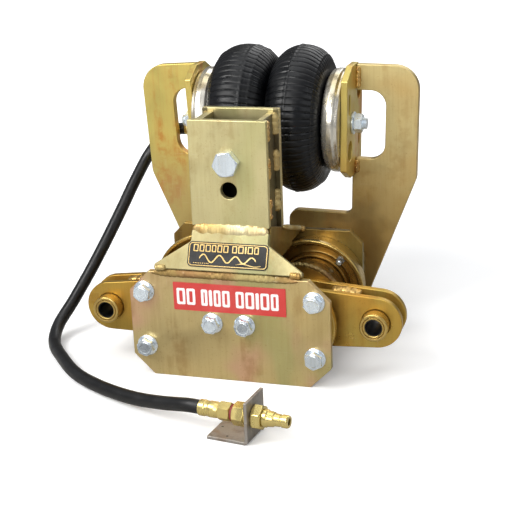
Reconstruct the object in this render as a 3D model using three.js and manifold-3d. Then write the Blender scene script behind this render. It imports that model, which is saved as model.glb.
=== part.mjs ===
// Air-sprung equaliser for a tandem-axle, leaf-spring trailer.
// Millimetres, +Z up, with the origin on the floor under the middle of the body.
// Every piece is drawn with the front plate's outer face at y = 0, then moved forward.
// A box tube bolts into the trailer's centre hanger. Two bell-crank arms turn on spindles
// between the front and rear plates: a leaf spring hangs from each arm's lug, and the two
// upper plates squeeze a double-convoluted air spring between them.

import * as THREE from 'three';
import { mergeVertices } from 'three/addons/utils/BufferGeometryUtils.js';
import Module from 'manifold-3d';

const wasm = await Module();
wasm.setup();

// ---- driving dimensions ----

const BODY_MIDDLE_Y = 122; // from the front plate's outer face
const GAP = 0.3; // clearance between pieces that touch
const PLATE = 6.4; // quarter-inch plate
const ARM_PLATE = 9.5; // three-eighths plate

const REST_LEAN = { left: 2.9, right: 1.4 }; // degrees that each arm leans outwards at rest
const PIVOT_X = 52.2;
const PIVOT_Z = 54.7;

const FRONT = { halfWidth: 92.7, top: 100, chamfer: 19 };
const REAR = { y: 124.5, halfWidth: 95.5, top: 107, topChamfer: 12, bottomChamfer: 19 };
const BOX = {
  y: 17, halfWidth: 35.5, depth: 48, bottom: 139.5, top: 234.5, webX: 25, webT: 6,
  boltZ: 197.5, spareZ: 172.5,
};
const SLOPE = {
  bottomY: 0.5, bottomZ: 103, topY: 15.5, topZ: 136, bottomHalf: 68, topHalf: 35.5, lip: 4, neck: 26,
};
// The side ribs and the deck plate join the front to the rear plate under the box.
const RIB = { frontY: 27, frontZ: 139, rearZ: 107.5, thickness: 6.1 };
const DECK = { bottom: 101.5, top: 107.9 };

const SPINDLE = { flangeR: 42.8, flangeT: 8, shaftR: 16, boltCircleR: 37.1 };
const HUB_BORE = SPINDLE.shaftR + 0.4;
const HOUSING = { y: 93, rimR: 51.2, neckR: 46, boreR: 43, rimDepth: 4 };

const LUG = { frontY: 30, rearY: 51, pivotR: 28, endR: 23.3, x: 126.5, z: 55.2 };
const SLEEVE = { outerR: 12.7, boreR: 7.15, overhang: 12 };

const ARM_Y = 186;
const BAG = { y: 181, z: 202, outerR: 72, plateX: 67.2, endX: 50, beadX: 55.2, beadR: 50.5, neckR: 44 };
const BAG_PLATE = { y0: 146, y1: 216, z0: 148, z1: 257, chamferY: 22, chamferZ: 11 };
const STUD_Y = 171;
const PORT = { y: 205, z: 186, end: 100 };

const HOSE_R = 6;
const HOSE_END = new THREE.Vector3(5, -97.5, 20.5);
const FITTING_TURN = -8; // degrees, the coupling's direction on the floor

// ---- finishes ----

const finish = (color, roughness, metalness) => () =>
  new THREE.MeshStandardMaterial({ color, roughness, metalness });

const goldPlate = finish(0xb29a5c, 0.42, 0.75);
const boxPlate = finish(0xcdbd83, 0.45, 0.7);
const armPlate = finish(0xb89c55, 0.42, 0.75);
const goldTube = finish(0xc09a45, 0.32, 0.85);
const brightZinc = finish(0xd9dee4, 0.25, 0.9);
const beadSteel = finish(0xc4c0b4, 0.3, 0.85);
const rawSteel = finish(0x7d746a, 0.55, 0.7);
const rubber = finish(0x1b1c1f, 0.62, 0);
const hoseRubber = finish(0x141414, 0.5, 0);
const brass = finish(0xcf9f45, 0.28, 0.95);
const blackLabel = finish(0x15140f, 0.35, 0);
const redLabel = finish(0xcf4642, 0.4, 0);
const redSeal = finish(0x7a1f1c, 0.5, 0);

// ---- outlines and solids ----

// A closed outline from [x, y, radius] corners, with an arc at each corner that has a radius.
function outline(corners, holes = []) {
  const shape = new THREE.Shape();
  const at = (i) => corners[(i + corners.length) % corners.length];
  corners.forEach(([x, y, radius], i) => {
    const corner = new THREE.Vector2(x, y);
    const before = new THREE.Vector2(...at(i - 1)).sub(corner).normalize();
    const after = new THREE.Vector2(...at(i + 1)).sub(corner).normalize();
    const half = Math.acos(THREE.MathUtils.clamp(before.dot(after), -1, 1)) / 2;
    const move = i === 0 ? 'moveTo' : 'lineTo';
    if (!radius) {
      shape[move](x, y);
      return;
    }
    const start = corner.clone().addScaledVector(before, radius / Math.tan(half));
    const middle = before.clone().add(after).normalize();
    const centre = corner.clone().addScaledVector(middle, radius / Math.sin(half));
    const end = corner.clone().addScaledVector(after, radius / Math.tan(half));
    const angle = (p) => Math.atan2(p.y - centre.y, p.x - centre.x);
    shape[move](start.x, start.y);
    shape.absarc(centre.x, centre.y, radius, angle(start), angle(end), before.cross(after) > 0);
  });
  shape.closePath();
  shape.holes.push(...holes);
  return shape;
}

function roundHole(x, y, radius, segments = 20) {
  const angles = Array.from({ length: segments }, (_, i) => (-2 * Math.PI * i) / segments);
  const rim = angles.map((a) => new THREE.Vector2(x + radius * Math.cos(a), y + radius * Math.sin(a)));
  return new THREE.Path(rim);
}

// A slot that stands upright, with round ends.
function slotHole(x, y, width, height) {
  const r = width / 2;
  const rise = height / 2 - r;
  const hole = new THREE.Path();
  hole.moveTo(x + r, y - rise);
  hole.absarc(x, y - rise, r, 0, Math.PI, true);
  hole.absarc(x, y + rise, r, Math.PI, 0, true);
  hole.closePath();
  return hole;
}

// The outline of a tapered link: the tangent hull of two circles.
function linkOutline(a, b, holes) {
  const dx = b.x - a.x;
  const dy = b.y - a.y;
  const along = Math.atan2(dy, dx);
  const spread = Math.acos((a.r - b.r) / Math.hypot(dx, dy));
  const shape = new THREE.Shape();
  shape.absarc(b.x, b.y, b.r, along - spread, along + spread, false);
  shape.absarc(a.x, a.y, a.r, along + spread, along - spread + 2 * Math.PI, false);
  shape.closePath();
  shape.holes.push(...holes);
  return shape;
}

function extrude(shape, depth, curveSegments = 4) {
  return new THREE.ExtrudeGeometry(shape, { depth, curveSegments, bevelEnabled: false });
}

// A plate that faces -Y: its outline is in X and Z, and it fills y0 to y0 + thickness.
function facingPlate(shape, y0, thickness, curveSegments) {
  return extrude(shape, thickness, curveSegments).rotateX(Math.PI / 2).translate(0, y0 + thickness, 0);
}

// A plate that faces X: its outline is in Y and Z, and it fills x0 to x0 + thickness.
function sidePlate(shape, x0, thickness, curveSegments) {
  const turn = new THREE.Matrix4().makeBasis(
    new THREE.Vector3(0, 1, 0), new THREE.Vector3(0, 0, 1), new THREE.Vector3(1, 0, 0));
  return extrude(shape, thickness, curveSegments).applyMatrix4(turn).translate(x0, 0, 0);
}

function block(x0, x1, y0, y1, z0, z1) {
  return new THREE.BoxGeometry(x1 - x0, y1 - y0, z1 - z0)
    .translate((x0 + x1) / 2, (y0 + y1) / 2, (z0 + z1) / 2);
}

// A turned piece on the Y axis from [radius, y] points.
function turned(points, segments = 40) {
  return new THREE.LatheGeometry(points.map(([r, y]) => new THREE.Vector2(r, y)), segments);
}

// A ring or tube on the Y axis.
function tube(outerR, innerR, y0, y1, segments) {
  return turned([[innerR, y0], [outerR, y0], [outerR, y1], [innerR, y1], [innerR, y0]], segments);
}

function rod(radius, y0, y1, segments = 24) {
  return new THREE.CylinderGeometry(radius, radius, y1 - y0, segments).translate(0, (y0 + y1) / 2, 0);
}

function hexagon(acrossFlats, y0, y1) {
  return rod(acrossFlats / Math.sqrt(3), y0, y1, 6);
}

const toX = (geometry) => geometry.rotateZ(-Math.PI / 2); // from the Y axis to the X axis

// ---- closed bodies ----

// The same surface with shared corners, no collapsed triangles and every face outwards.
function closed(geometry) {
  const bare = geometry.clone();
  bare.deleteAttribute('normal');
  bare.deleteAttribute('uv');
  const merged = mergeVertices(bare, 1e-4);
  const order = merged.index.array;
  const points = merged.attributes.position;
  const corner = (i) => new THREE.Vector3().fromBufferAttribute(points, i);
  const triangles = [];
  let volume = 0;
  for (let i = 0; i < order.length; i += 3) {
    const [a, b, c] = [order[i], order[i + 1], order[i + 2]];
    if (a !== b && b !== c && c !== a) {
      triangles.push(a, b, c);
      volume += corner(a).dot(corner(b).cross(corner(c))) / 6;
    }
  }
  if (volume < 0) {
    triangles.reverse();
  }
  merged.setIndex(triangles);
  return merged;
}

function toManifold(geometry) {
  const body = closed(geometry);
  return new wasm.Manifold(new wasm.Mesh({
    numProp: 3,
    vertProperties: new Float32Array(body.attributes.position.array),
    triVerts: new Uint32Array(body.index.array),
  }));
}

function fromManifold(manifold) {
  const mesh = manifold.getMesh();
  const geometry = new THREE.BufferGeometry();
  geometry.setAttribute('position', new THREE.Float32BufferAttribute(mesh.vertProperties, 3));
  geometry.setIndex(Array.from(mesh.triVerts));
  return geometry;
}

const joined = (...solids) => fromManifold(solids.map(toManifold).reduce((a, b) => a.add(b)));
const cut = (solid, ...tools) =>
  fromManifold(tools.map(toManifold).reduce((a, b) => a.subtract(b), toManifold(solid)));

// ---- assembly ----

const equaliser = new THREE.Group();

function add(parent, name, geometry, makeMaterial) {
  const mesh = new THREE.Mesh(closed(geometry), makeMaterial());
  mesh.geometry.computeVertexNormals();
  mesh.name = name;
  parent.add(mesh);
  return mesh;
}

const sides = [{ side: 'left', sign: -1 }, { side: 'right', sign: 1 }];

// Three flange bolts hold each spindle: one towards the middle and two on the outer diagonals.
const flangeBolts = [];
for (const { side, sign } of sides) {
  const spots = [['inner', Math.PI], ['upper', Math.PI / 4], ['lower', -Math.PI / 4]];
  for (const [spot, angle] of spots) {
    flangeBolts.push({
      name: `flange_bolt_${side}_${spot}`,
      x: sign * (PIVOT_X + SPINDLE.boltCircleR * Math.cos(angle)),
      z: PIVOT_Z + SPINDLE.boltCircleR * Math.sin(angle),
    });
  }
}
const FLANGE_BOLT = { shankR: 4.75, holeR: 5.2, headAF: 14.3, headH: 7, flangeR: 9.7, flangeH: 1.8 };

function addEndPlates(parent) {
  const c = FRONT.chamfer;
  const w = FRONT.halfWidth;
  const front = outline([
    [-w + c, 0], [w - c, 0], [w, c], [w, FRONT.top - c], [w - c, FRONT.top],
    [-w + c, FRONT.top], [-w, FRONT.top - c], [-w, c],
  ], flangeBolts.map(({ x, z }) => roundHole(x, z, FLANGE_BOLT.holeR, 12)));
  add(parent, 'front_plate', facingPlate(front, 0, PLATE), goldPlate);

  const t = REAR.topChamfer;
  const b = REAR.bottomChamfer;
  const r = REAR.halfWidth;
  const rear = outline([
    [-r + b, 0], [r - b, 0], [r, b], [r, REAR.top - t], [r - t, REAR.top],
    [-r + t, REAR.top], [-r, REAR.top - t], [-r, b],
  ], sides.map(({ sign }) => roundHole(sign * PIVOT_X, PIVOT_Z, 36, 36)));
  add(parent, 'rear_plate', facingPlate(rear, REAR.y, PLATE), goldPlate);
}

// The ribs' top edges run down from under the box to the rear plate's top edge.
const ribTop = (y) => RIB.frontZ + ((RIB.rearZ - RIB.frontZ) * (y - RIB.frontY)) / (REAR.y - RIB.frontY);

// The sloped plate leans back from the front plate's top edge to the foot of the box.
function addSaddle(parent) {
  const rise = SLOPE.topZ - SLOPE.bottomZ;
  const run = SLOPE.topY - SLOPE.bottomY;
  const length = Math.hypot(rise, run);
  const lean = Math.atan2(run, rise);
  const face = outline([
    [-SLOPE.bottomHalf, 0], [SLOPE.bottomHalf, 0], [SLOPE.bottomHalf, SLOPE.lip],
    [SLOPE.topHalf, SLOPE.neck], [SLOPE.topHalf, length],
    [-SLOPE.topHalf, length], [-SLOPE.topHalf, SLOPE.neck], [-SLOPE.bottomHalf, SLOPE.lip],
  ]);
  const onSlope = (geometry) => geometry.rotateX(-lean).translate(0, SLOPE.bottomY, SLOPE.bottomZ);
  add(parent, 'sloped_plate', onSlope(facingPlate(face, 0, PLATE)), goldPlate);

  const badge = outline([[-37, 3.5, 4], [37, 3.5, 4], [37, 26, 4], [-37, 26, 4]]);
  add(parent, 'name_plate', onSlope(facingPlate(badge, -0.8, 0.5, 3)), blackLabel);

  const ribX = BOX.halfWidth - RIB.thickness;
  const behind = PLATE / Math.cos(lean) + GAP;
  const backOfSlope = (z) => SLOPE.bottomY + (z - SLOPE.bottomZ) * Math.tan(lean) + behind;
  const housingTop = PIVOT_Z + HOUSING.rimR - 1; // the ribs step up over the bearing housings
  const rib = outline([
    [backOfSlope(DECK.bottom), DECK.bottom], [HOUSING.y - 1, DECK.bottom], [HOUSING.y - 1, housingTop],
    [REAR.y - GAP, housingTop], [REAR.y - GAP, ribTop(REAR.y)], [RIB.frontY, RIB.frontZ],
    [backOfSlope(RIB.frontZ), RIB.frontZ],
  ]);
  for (const { side, sign } of sides) {
    const x0 = sign > 0 ? ribX : -BOX.halfWidth;
    add(parent, `side_rib_${side}`, sidePlate(rib, x0, RIB.thickness), goldPlate);
  }
  const deckHalf = ribX - GAP;
  const deck = block(-deckHalf, deckHalf, backOfSlope(DECK.top), REAR.y - GAP, DECK.bottom, DECK.top);
  add(parent, 'deck_plate', deck, goldPlate);
}

// The open-topped box tube that slides into the trailer's centre hanger.
function addBox(parent) {
  const boltHole = 7.5;
  const wall = (bottom, top) => outline(
    [[-BOX.halfWidth, bottom], [BOX.halfWidth, bottom], [BOX.halfWidth, top], [-BOX.halfWidth, top]],
    [roundHole(0, BOX.boltZ, boltHole), roundHole(0, BOX.spareZ, boltHole)]);
  const backY = BOX.y + BOX.depth - PLATE;
  add(parent, 'box_front', facingPlate(wall(BOX.bottom, BOX.top), BOX.y, PLATE), boxPlate);
  add(parent, 'box_back', facingPlate(wall(ribTop(backY) + GAP, BOX.top + 2.5), backY, PLATE), boxPlate);
  const [webFront, webBack, webTop] = [BOX.y + PLATE + GAP, backY - GAP, BOX.top - 1];
  const web = outline([
    [webFront, BOX.bottom], [RIB.frontY, BOX.bottom], [webBack, ribTop(webBack) + 2 * GAP],
    [webBack, webTop], [webFront, webTop],
  ]);
  for (const { side, sign } of sides) {
    const x0 = sign > 0 ? BOX.webX : -BOX.webX - BOX.webT;
    add(parent, `box_web_${side}`, sidePlate(web, x0, BOX.webT), boxPlate);
  }

  const headBack = BOX.y - GAP;
  const nutFace = BOX.y + BOX.depth + GAP;
  const bolt = joined(hexagon(20.6, headBack - 9, headBack), rod(7, headBack - 1, nutFace + 17, 20));
  const nut = cut(hexagon(20.6, nutFace, nutFace + 12), rod(7.3, nutFace - 1, nutFace + 13, 20));
  for (const [name, geometry] of [['hanger_bolt', bolt], ['hanger_nut', nut]]) {
    add(parent, name, geometry.translate(0, 0, BOX.boltZ), brightZinc);
  }
}

function addFlangeBolts(parent) {
  const f = FLANGE_BOLT;
  const bolt = joined(
    rod(f.flangeR, -GAP - f.flangeH, -GAP, 20),
    hexagon(f.headAF, -GAP - f.flangeH - f.headH, -GAP - f.flangeH + 0.5),
    rod(f.shankR, -GAP - 1, PLATE + GAP + SPINDLE.flangeT + 3, 12));
  flangeBolts.forEach(({ name, x, z }, i) => {
    const turnedBolt = bolt.clone().rotateY(0.4 * i).translate(x, 0, z);
    add(parent, name, turnedBolt, brightZinc);
  });
  const label = outline([[-50.5, 65.3], [53.5, 65.3], [53.5, 91.5], [-50.5, 91.5]]);
  add(parent, 'warning_label', facingPlate(label, -0.8, 0.5), redLabel);
}

// Each spindle is bolted behind the front plate and runs back through the hub and the arm.
function addSpindle(parent, side, sign) {
  const place = (geometry) => geometry.translate(sign * PIVOT_X, 0, PIVOT_Z);
  const flangeFront = PLATE + GAP;
  const flangeBack = flangeFront + SPINDLE.flangeT;
  const shaftEnd = ARM_Y + ARM_PLATE + 20;
  const holes = [Math.PI, Math.PI / 4, -Math.PI / 4].map((angle) => {
    const x = sign * SPINDLE.boltCircleR * Math.cos(angle);
    return rod(FLANGE_BOLT.holeR, 0, 40, 12).translate(x, 0, SPINDLE.boltCircleR * Math.sin(angle));
  });
  const body = turned([
    [0, flangeFront], [SPINDLE.flangeR, flangeFront], [SPINDLE.flangeR, flangeBack],
    [SPINDLE.shaftR, flangeBack], [SPINDLE.shaftR, shaftEnd], [0, shaftEnd],
  ], 40);
  add(parent, `spindle_${side}`, place(cut(body, ...holes)), goldTube);

  const nutY = ARM_Y + ARM_PLATE + 1;
  const nut = cut(
    joined(hexagon(41, nutY + 2, nutY + 15), rod(24, nutY, nutY + 3, 28)),
    rod(SPINDLE.shaftR + GAP, nutY - 1, nutY + 20, 28));
  add(parent, `spindle_nut_${side}`, place(nut), brightZinc);

  const { rimR, neckR, boreR, rimDepth, y: rimY } = HOUSING;
  const back = REAR.y - GAP;
  const housing = turned([
    [rimR - 3.5, rimY], [rimR, rimY], [rimR, rimY + rimDepth], [neckR, rimY + rimDepth + 4], [neckR, back],
    [boreR, back], [boreR, rimY + rimDepth + 3], [rimR - 3.5, rimY + rimDepth - 1], [rimR - 3.5, rimY],
  ], 40);
  add(parent, `bearing_housing_${side}`, place(housing), goldPlate);

  const carrier = turned([
    [32.2, back], [32.2, 101], [34.6, 101], [34.6, 110], [boreR - GAP, 110], [boreR - GAP, back],
    [32.2, back],
  ], 40);
  add(parent, `bearing_carrier_${side}`, place(carrier), goldTube);

  const zerk = turned([
    [0, 109.7], [4, 109.7], [4, 105], [2.2, 104], [2.2, 101.5], [3, 100.5], [3, 99], [0, 97.5],
  ], 12);
  const zerkAngle = THREE.MathUtils.degToRad(48);
  add(parent, `grease_fitting_${side}`,
    place(zerk).translate(sign * 38.8 * Math.cos(zerkAngle), 0, 38.8 * Math.sin(zerkAngle)), brightZinc);
}

// ---- the two bell-crank arms ----

// A group in which the arm is drawn upright, leaned outwards about its spindle.
function leaningArm(side, sign) {
  const pivot = new THREE.Group();
  pivot.position.set(sign * PIVOT_X, 0, PIVOT_Z);
  pivot.rotation.y = sign * THREE.MathUtils.degToRad(REST_LEAN[side]);
  const arm = new THREE.Group();
  arm.position.set(-sign * PIVOT_X, 0, -PIVOT_Z);
  pivot.add(arm);
  equaliser.add(pivot);
  return arm;
}

const mirrored = (geometry, sign) => (sign > 0 ? geometry : geometry.scale(-1, 1, 1));

function armOutline() {
  const footR = 46;
  const edgeX = BAG.plateX + PLATE + GAP;
  const footLeft = PIVOT_X - footR;
  return outline([
    [footLeft, PIVOT_Z], [footLeft, PIVOT_Z - footR, footR - 0.01], [84, PIVOT_Z - footR, 30],
    [134.3, 146, 18], [134.3, 256, 24], [edgeX, 256],
    [edgeX, 231], [102.8, 231, 15], [102.8, 163.5, 15], [edgeX, 163.5],
    [edgeX, BAG_PLATE.z0 - GAP], [70.8, BAG_PLATE.z0 - GAP], [70.8, 106.5, 7], [footLeft, 106.5, 10],
  ], [roundHole(PIVOT_X, PIVOT_Z, HUB_BORE, 32)]);
}

function bagPlateOutline(side) {
  const { y0, y1, z0, z1, chamferY, chamferZ } = BAG_PLATE;
  const holes = [
    roundHole(STUD_Y, BAG.z, 6.5),
    roundHole(BAG.y + 19, BAG.z + 27, 9), roundHole(BAG.y - 19, BAG.z - 26, 10),
    slotHole(BAG.y - 24, BAG.z + 20, 7, 20),
  ];
  holes.push(side === 'left' ? roundHole(PORT.y, PORT.z, 5) : slotHole(BAG.y + 22, BAG.z - 18, 7, 20));
  return outline([
    [y0 + chamferY, z0], [y1 - chamferY, z0], [y1, z0 + chamferZ], [y1, z1 - chamferZ],
    [y1 - chamferY, z1], [y0 + chamferY, z1], [y0, z1 - chamferZ], [y0, z0 + chamferZ],
  ], holes);
}

function addLug(arm, side, sign) {
  const sleeveHole = () => roundHole(LUG.x, LUG.z, SLEEVE.outerR + GAP, 28);
  const ends = [{ x: PIVOT_X, y: PIVOT_Z, r: LUG.pivotR }, { x: LUG.x, y: LUG.z, r: LUG.endR }];
  const hubNeckR = 26;
  const plates = [
    ['front', LUG.frontY, HUB_BORE],
    ['rear', LUG.rearY, hubNeckR + GAP],
  ];
  for (const [name, y, boreR] of plates) {
    const shape = linkOutline(...ends, [roundHole(PIVOT_X, PIVOT_Z, boreR, 32), sleeveHole()]);
    add(arm, `lug_${name}_plate_${side}`, mirrored(facingPlate(shape, y, PLATE, 8), sign), armPlate);
  }

  const inside = LUG.frontY + PLATE + GAP;
  const spacer = block(85, 110, inside, LUG.rearY - GAP, 66, 76.5);
  add(arm, `lug_spacer_${side}`, mirrored(spacer, sign), armPlate);

  const [sleeveFront, sleeveBack] = [LUG.frontY - SLEEVE.overhang, LUG.rearY + PLATE + SLEEVE.overhang];
  const sleeve = tube(SLEEVE.outerR, SLEEVE.boreR, sleeveFront, sleeveBack, 28);
  add(arm, `shackle_sleeve_${side}`, mirrored(sleeve.translate(LUG.x, 0, LUG.z), sign), goldTube);

  const back = LUG.rearY + PLATE + GAP;
  const hub = turned([
    [HUB_BORE, inside], [hubNeckR, inside], [hubNeckR, back], [38, back], [38, 66],
    [34, 70], [34, 88], [31.6, 91], [31.6, ARM_Y - GAP], [HUB_BORE, ARM_Y - GAP], [HUB_BORE, inside],
  ], 36);
  add(arm, `hub_tube_${side}`, mirrored(hub.translate(PIVOT_X, 0, PIVOT_Z), sign), goldTube);
}

function addUpperPlates(arm, side, sign) {
  add(arm, `arm_plate_${side}`, mirrored(facingPlate(armOutline(), ARM_Y, ARM_PLATE), sign), armPlate);
  const bagPlate = sidePlate(bagPlateOutline(side), BAG.plateX, PLATE);
  add(arm, `bag_plate_${side}`, mirrored(bagPlate, sign), armPlate);
}

// Half of the air spring: a crimped bead plate, one convolute and the stud through the bag plate.
function addAirSpring(arm, side, sign) {
  const place = (geometry) => mirrored(toX(geometry).translate(0, BAG.y, BAG.z), sign);
  const beadBack = BAG.plateX - GAP;
  const beadFront = BAG.beadX;
  const bead = turned([
    [0, BAG.endX + GAP], [42, BAG.endX + GAP], [46, beadFront], [BAG.beadR - 2, beadFront + 0.6],
    [BAG.beadR, beadFront + 3.5], [BAG.beadR, beadFront + 7], [48, beadBack - 1], [44, beadBack],
    [0, beadBack],
  ], 36);
  add(arm, `bead_plate_${side}`, place(bead), beadSteel);

  // The wall of the convolute is a half circle from the waist out to the bead.
  const inner = -1;
  const outer = BAG.endX;
  const middle = (inner + outer) / 2;
  const bulge = (outer - inner) / 2;
  const wall = 6;
  const arc = (radius, turns) => turns.map((k) => {
    const angle = (Math.PI * k) / 10;
    const swell = (BAG.outerR - BAG.neckR) * (radius / bulge);
    return [BAG.neckR + swell * Math.sin(angle), middle - radius * Math.cos(angle)];
  });
  const outside = arc(bulge, [0, 1, 2, 3, 4, 5, 6, 7, 8, 9, 10]);
  const inside = arc(bulge - wall, [10, 8, 6, 4, 2, 0]);
  const neck = [[BAG.neckR - 5, outer], [BAG.neckR - 5, outer - wall], ...inside,
    [BAG.neckR - 5, inner + wall], [BAG.neckR - 5, inner]];
  add(arm, `bellows_${side}`, place(turned([...outside, ...neck, outside[0]], 36)), rubber);

  const face = BAG.plateX + PLATE + GAP;
  const stud = joined(
    rod(6, BAG.plateX, face + 14, 16),
    rod(11, face, face + 2, 20),
    hexagon(17, face + 1.5, face + 10));
  add(arm, `bag_stud_${side}`, place(stud).translate(0, STUD_Y - BAG.y, 0), brightZinc);
}

function addAirFitting(arm) {
  const face = BAG.plateX + PLATE + GAP;
  const fitting = joined(
    hexagon(14.3, face, face + 9),
    rod(4.4, BAG.plateX, face + 1, 20),
    rod(6.6, face + 8, PORT.end, 24));
  add(arm, 'air_fitting', mirrored(toX(fitting).translate(0, PORT.y, PORT.z), -1), brass);
}

// ---- the fill hose and its coupling on the floor bracket ----

function addHose(parent, start, heading) {
  const turn = THREE.MathUtils.degToRad(FITTING_TURN);
  const inlet = new THREE.Vector3(Math.cos(turn), Math.sin(turn), 0);
  const route = [
    start, start.clone().addScaledVector(heading, 6),
    new THREE.Vector3(-130, 206, 176), new THREE.Vector3(-147, 203, 157), new THREE.Vector3(-157, 181, 132),
    new THREE.Vector3(-165, 157, 106), new THREE.Vector3(-173, 133, 81), new THREE.Vector3(-182, 109, 56),
    new THREE.Vector3(-192, 84, 32), new THREE.Vector3(-200, 62, 14), new THREE.Vector3(-193, 39, 7),
    new THREE.Vector3(-168, 3, 6.3), new THREE.Vector3(-137, -30, 6.3), new THREE.Vector3(-101, -53, 6.6),
    new THREE.Vector3(-64, -71, 9), new THREE.Vector3(-34, -84, 14),
    HOSE_END.clone().addScaledVector(inlet, -10), HOSE_END,
  ];
  const curve = new THREE.CatmullRomCurve3(route, false, 'centripetal');
  const section = new THREE.Shape();
  section.absarc(0, 0, HOSE_R, 0, 2 * Math.PI, false);
  const hose = new THREE.ExtrudeGeometry(section, { steps: 40, curveSegments: 4, extrudePath: curve });
  add(parent, 'air_hose', hose, hoseRubber);
}

function addCoupling(parent) {
  const line = new THREE.Group();
  line.position.copy(HOSE_END);
  line.rotation.z = THREE.MathUtils.degToRad(FITTING_TURN);
  parent.add(line);

  const unionEnd = 45.5;
  const ferrule = turned([
    [0, GAP], [6.9, GAP], [6.9, 5], [6.4, 6], [6.4, 9], [6.9, 10], [6.9, 15], [6, 18.2], [0, 18.2],
  ], 20);
  add(line, 'hose_ferrule', toX(ferrule), brass);
  add(line, 'swivel_nut', toX(hexagon(14.3, 18.5, 29)), brass);
  add(line, 'union_seal', toX(rod(7.1, 29.3, 31.6, 24)), redSeal);
  add(line, 'hex_union', toX(joined(hexagon(17.5, 31.9, unionEnd), rod(6, 44, 57, 20))), brass);

  const plateX = unionEnd + GAP;
  const floor = -HOSE_END.z;
  const sheet = 2.8;
  const angle = outline([
    [plateX - 34, floor], [plateX + sheet, floor], [plateX + sheet, floor + 37], [plateX, floor + 37],
    [plateX, floor + sheet], [plateX - 34, floor + sheet],
  ]);
  const bracket = cut(facingPlate(angle, -13.5, 33), toX(rod(6.4, plateX - 5, plateX + 8, 20)));
  add(line, 'floor_bracket', bracket, rawSteel);

  const nutX = plateX + sheet + GAP;
  const lockNut = cut(toX(hexagon(19, nutX, nutX + 8.5)), toX(rod(6.4, nutX - 1, nutX + 20, 20)));
  add(line, 'lock_nut', lockNut, brass);

  // The quick-connect plug: a round body, a neck and a stepped tip with a bore.
  const s = nutX + 8.5 + GAP;
  const plug = turned([
    [0, s], [7.4, s], [7.4, s + 8], [6.4, s + 9], [4.3, s + 10], [4.3, s + 15], [5.6, s + 16], [5.6, s + 19],
    [4.4, s + 22], [2.4, s + 22], [2.4, s + 12], [0, s + 12],
  ], 20);
  add(line, 'coupler_plug', toX(plug), brass);
}

// ---- build ----

addEndPlates(equaliser);
addSaddle(equaliser);
addBox(equaliser);
addFlangeBolts(equaliser);
for (const { side, sign } of sides) {
  addSpindle(equaliser, side, sign);
}
const girdle = toX(tube(50, 41, -1.3, 1.3, 36)).translate(0, BAG.y, BAG.z);
add(equaliser, 'girdle_hoop', girdle, rubber);

for (const { side, sign } of sides) {
  const arm = leaningArm(side, sign);
  addLug(arm, side, sign);
  addUpperPlates(arm, side, sign);
  addAirSpring(arm, side, sign);
  if (side === 'left') {
    addAirFitting(arm);
    equaliser.updateMatrixWorld(true);
    const start = arm.localToWorld(new THREE.Vector3(-PORT.end - GAP, PORT.y, PORT.z));
    const heading = new THREE.Vector3(-1, 0, 0).transformDirection(arm.matrixWorld);
    addHose(equaliser, start, heading);
  }
}
addCoupling(equaliser);
equaliser.position.y = -BODY_MIDDLE_Y;

export default equaliser;
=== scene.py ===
import bmesh
import bpy
import numpy as np
from mathutils import Matrix


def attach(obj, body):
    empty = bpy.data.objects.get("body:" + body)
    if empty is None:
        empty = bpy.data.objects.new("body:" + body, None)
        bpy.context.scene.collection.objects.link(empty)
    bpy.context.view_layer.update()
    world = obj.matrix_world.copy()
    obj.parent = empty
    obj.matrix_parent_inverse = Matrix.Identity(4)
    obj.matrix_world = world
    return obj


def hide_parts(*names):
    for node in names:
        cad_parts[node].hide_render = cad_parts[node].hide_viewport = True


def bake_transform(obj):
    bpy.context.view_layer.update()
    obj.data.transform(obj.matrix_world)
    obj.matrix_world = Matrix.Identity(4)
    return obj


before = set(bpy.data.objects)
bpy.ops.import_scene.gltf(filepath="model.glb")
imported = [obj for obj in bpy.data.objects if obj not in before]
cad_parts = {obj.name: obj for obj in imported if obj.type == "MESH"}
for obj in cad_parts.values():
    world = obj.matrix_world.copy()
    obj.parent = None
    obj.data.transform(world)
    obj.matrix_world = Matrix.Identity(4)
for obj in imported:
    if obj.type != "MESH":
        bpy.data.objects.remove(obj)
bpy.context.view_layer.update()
print("frame loaded")

# Pieces are drawn in millimetres with the front plate's face at y = 0, then put in the row frame.
layout = {
    "bodyMiddle": 122.0,
    "pivotX": 52.2,
    "pivotZ": 54.7,
    "lean": {"left": 2.9, "right": 1.4},
    "armY": 186.0,
    "bagY": 181.0,
    "bagZ": 202.0,
    "bagPlateX": 67.2,
    "plate": 6.4,
    "gap": 0.3,
}
signs = {"left": -1, "right": 1}


# ---- where things go ----

# turned about the spindle by the arm's lean: x' = x cos a + z sin a, z' = z cos a - x sin a
def leaned(points, side):
    sign = signs[side]
    angle = sign * np.radians(layout["lean"][side])
    dx = points[:, 0] - sign * layout["pivotX"]
    dz = points[:, 2] - layout["pivotZ"]
    x = dx * np.cos(angle) + dz * np.sin(angle) + sign * layout["pivotX"]
    z = dz * np.cos(angle) - dx * np.sin(angle) + layout["pivotZ"]
    return np.column_stack([x, points[:, 1], z])


def mirrored(points, side):
    return points * np.array([signs[side], 1, 1])


def onArm(points, side):
    return leaned(mirrored(points, side), side)


def toRow(points):
    return (points - np.array([0, layout["bodyMiddle"], 0])) * 0.001


def newObject(name, data):
    thing = bpy.data.objects.new(name, data)
    bpy.context.scene.collection.objects.link(thing)
    return thing


# a placed frame from its three axes and its origin
def placed(x, y, z, origin):
    turn = np.eye(4)
    turn[:3, :3] = np.column_stack([x, y, z])
    turn[:3, 3] = origin
    return Matrix(turn.tolist())


saddle = {"bottomY": 0.5, "bottomZ": 103.0, "topY": 15.5, "topZ": 136.0}
saddleLean = np.arctan2(saddle["topY"] - saddle["bottomY"], saddle["topZ"] - saddle["bottomZ"])


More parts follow.
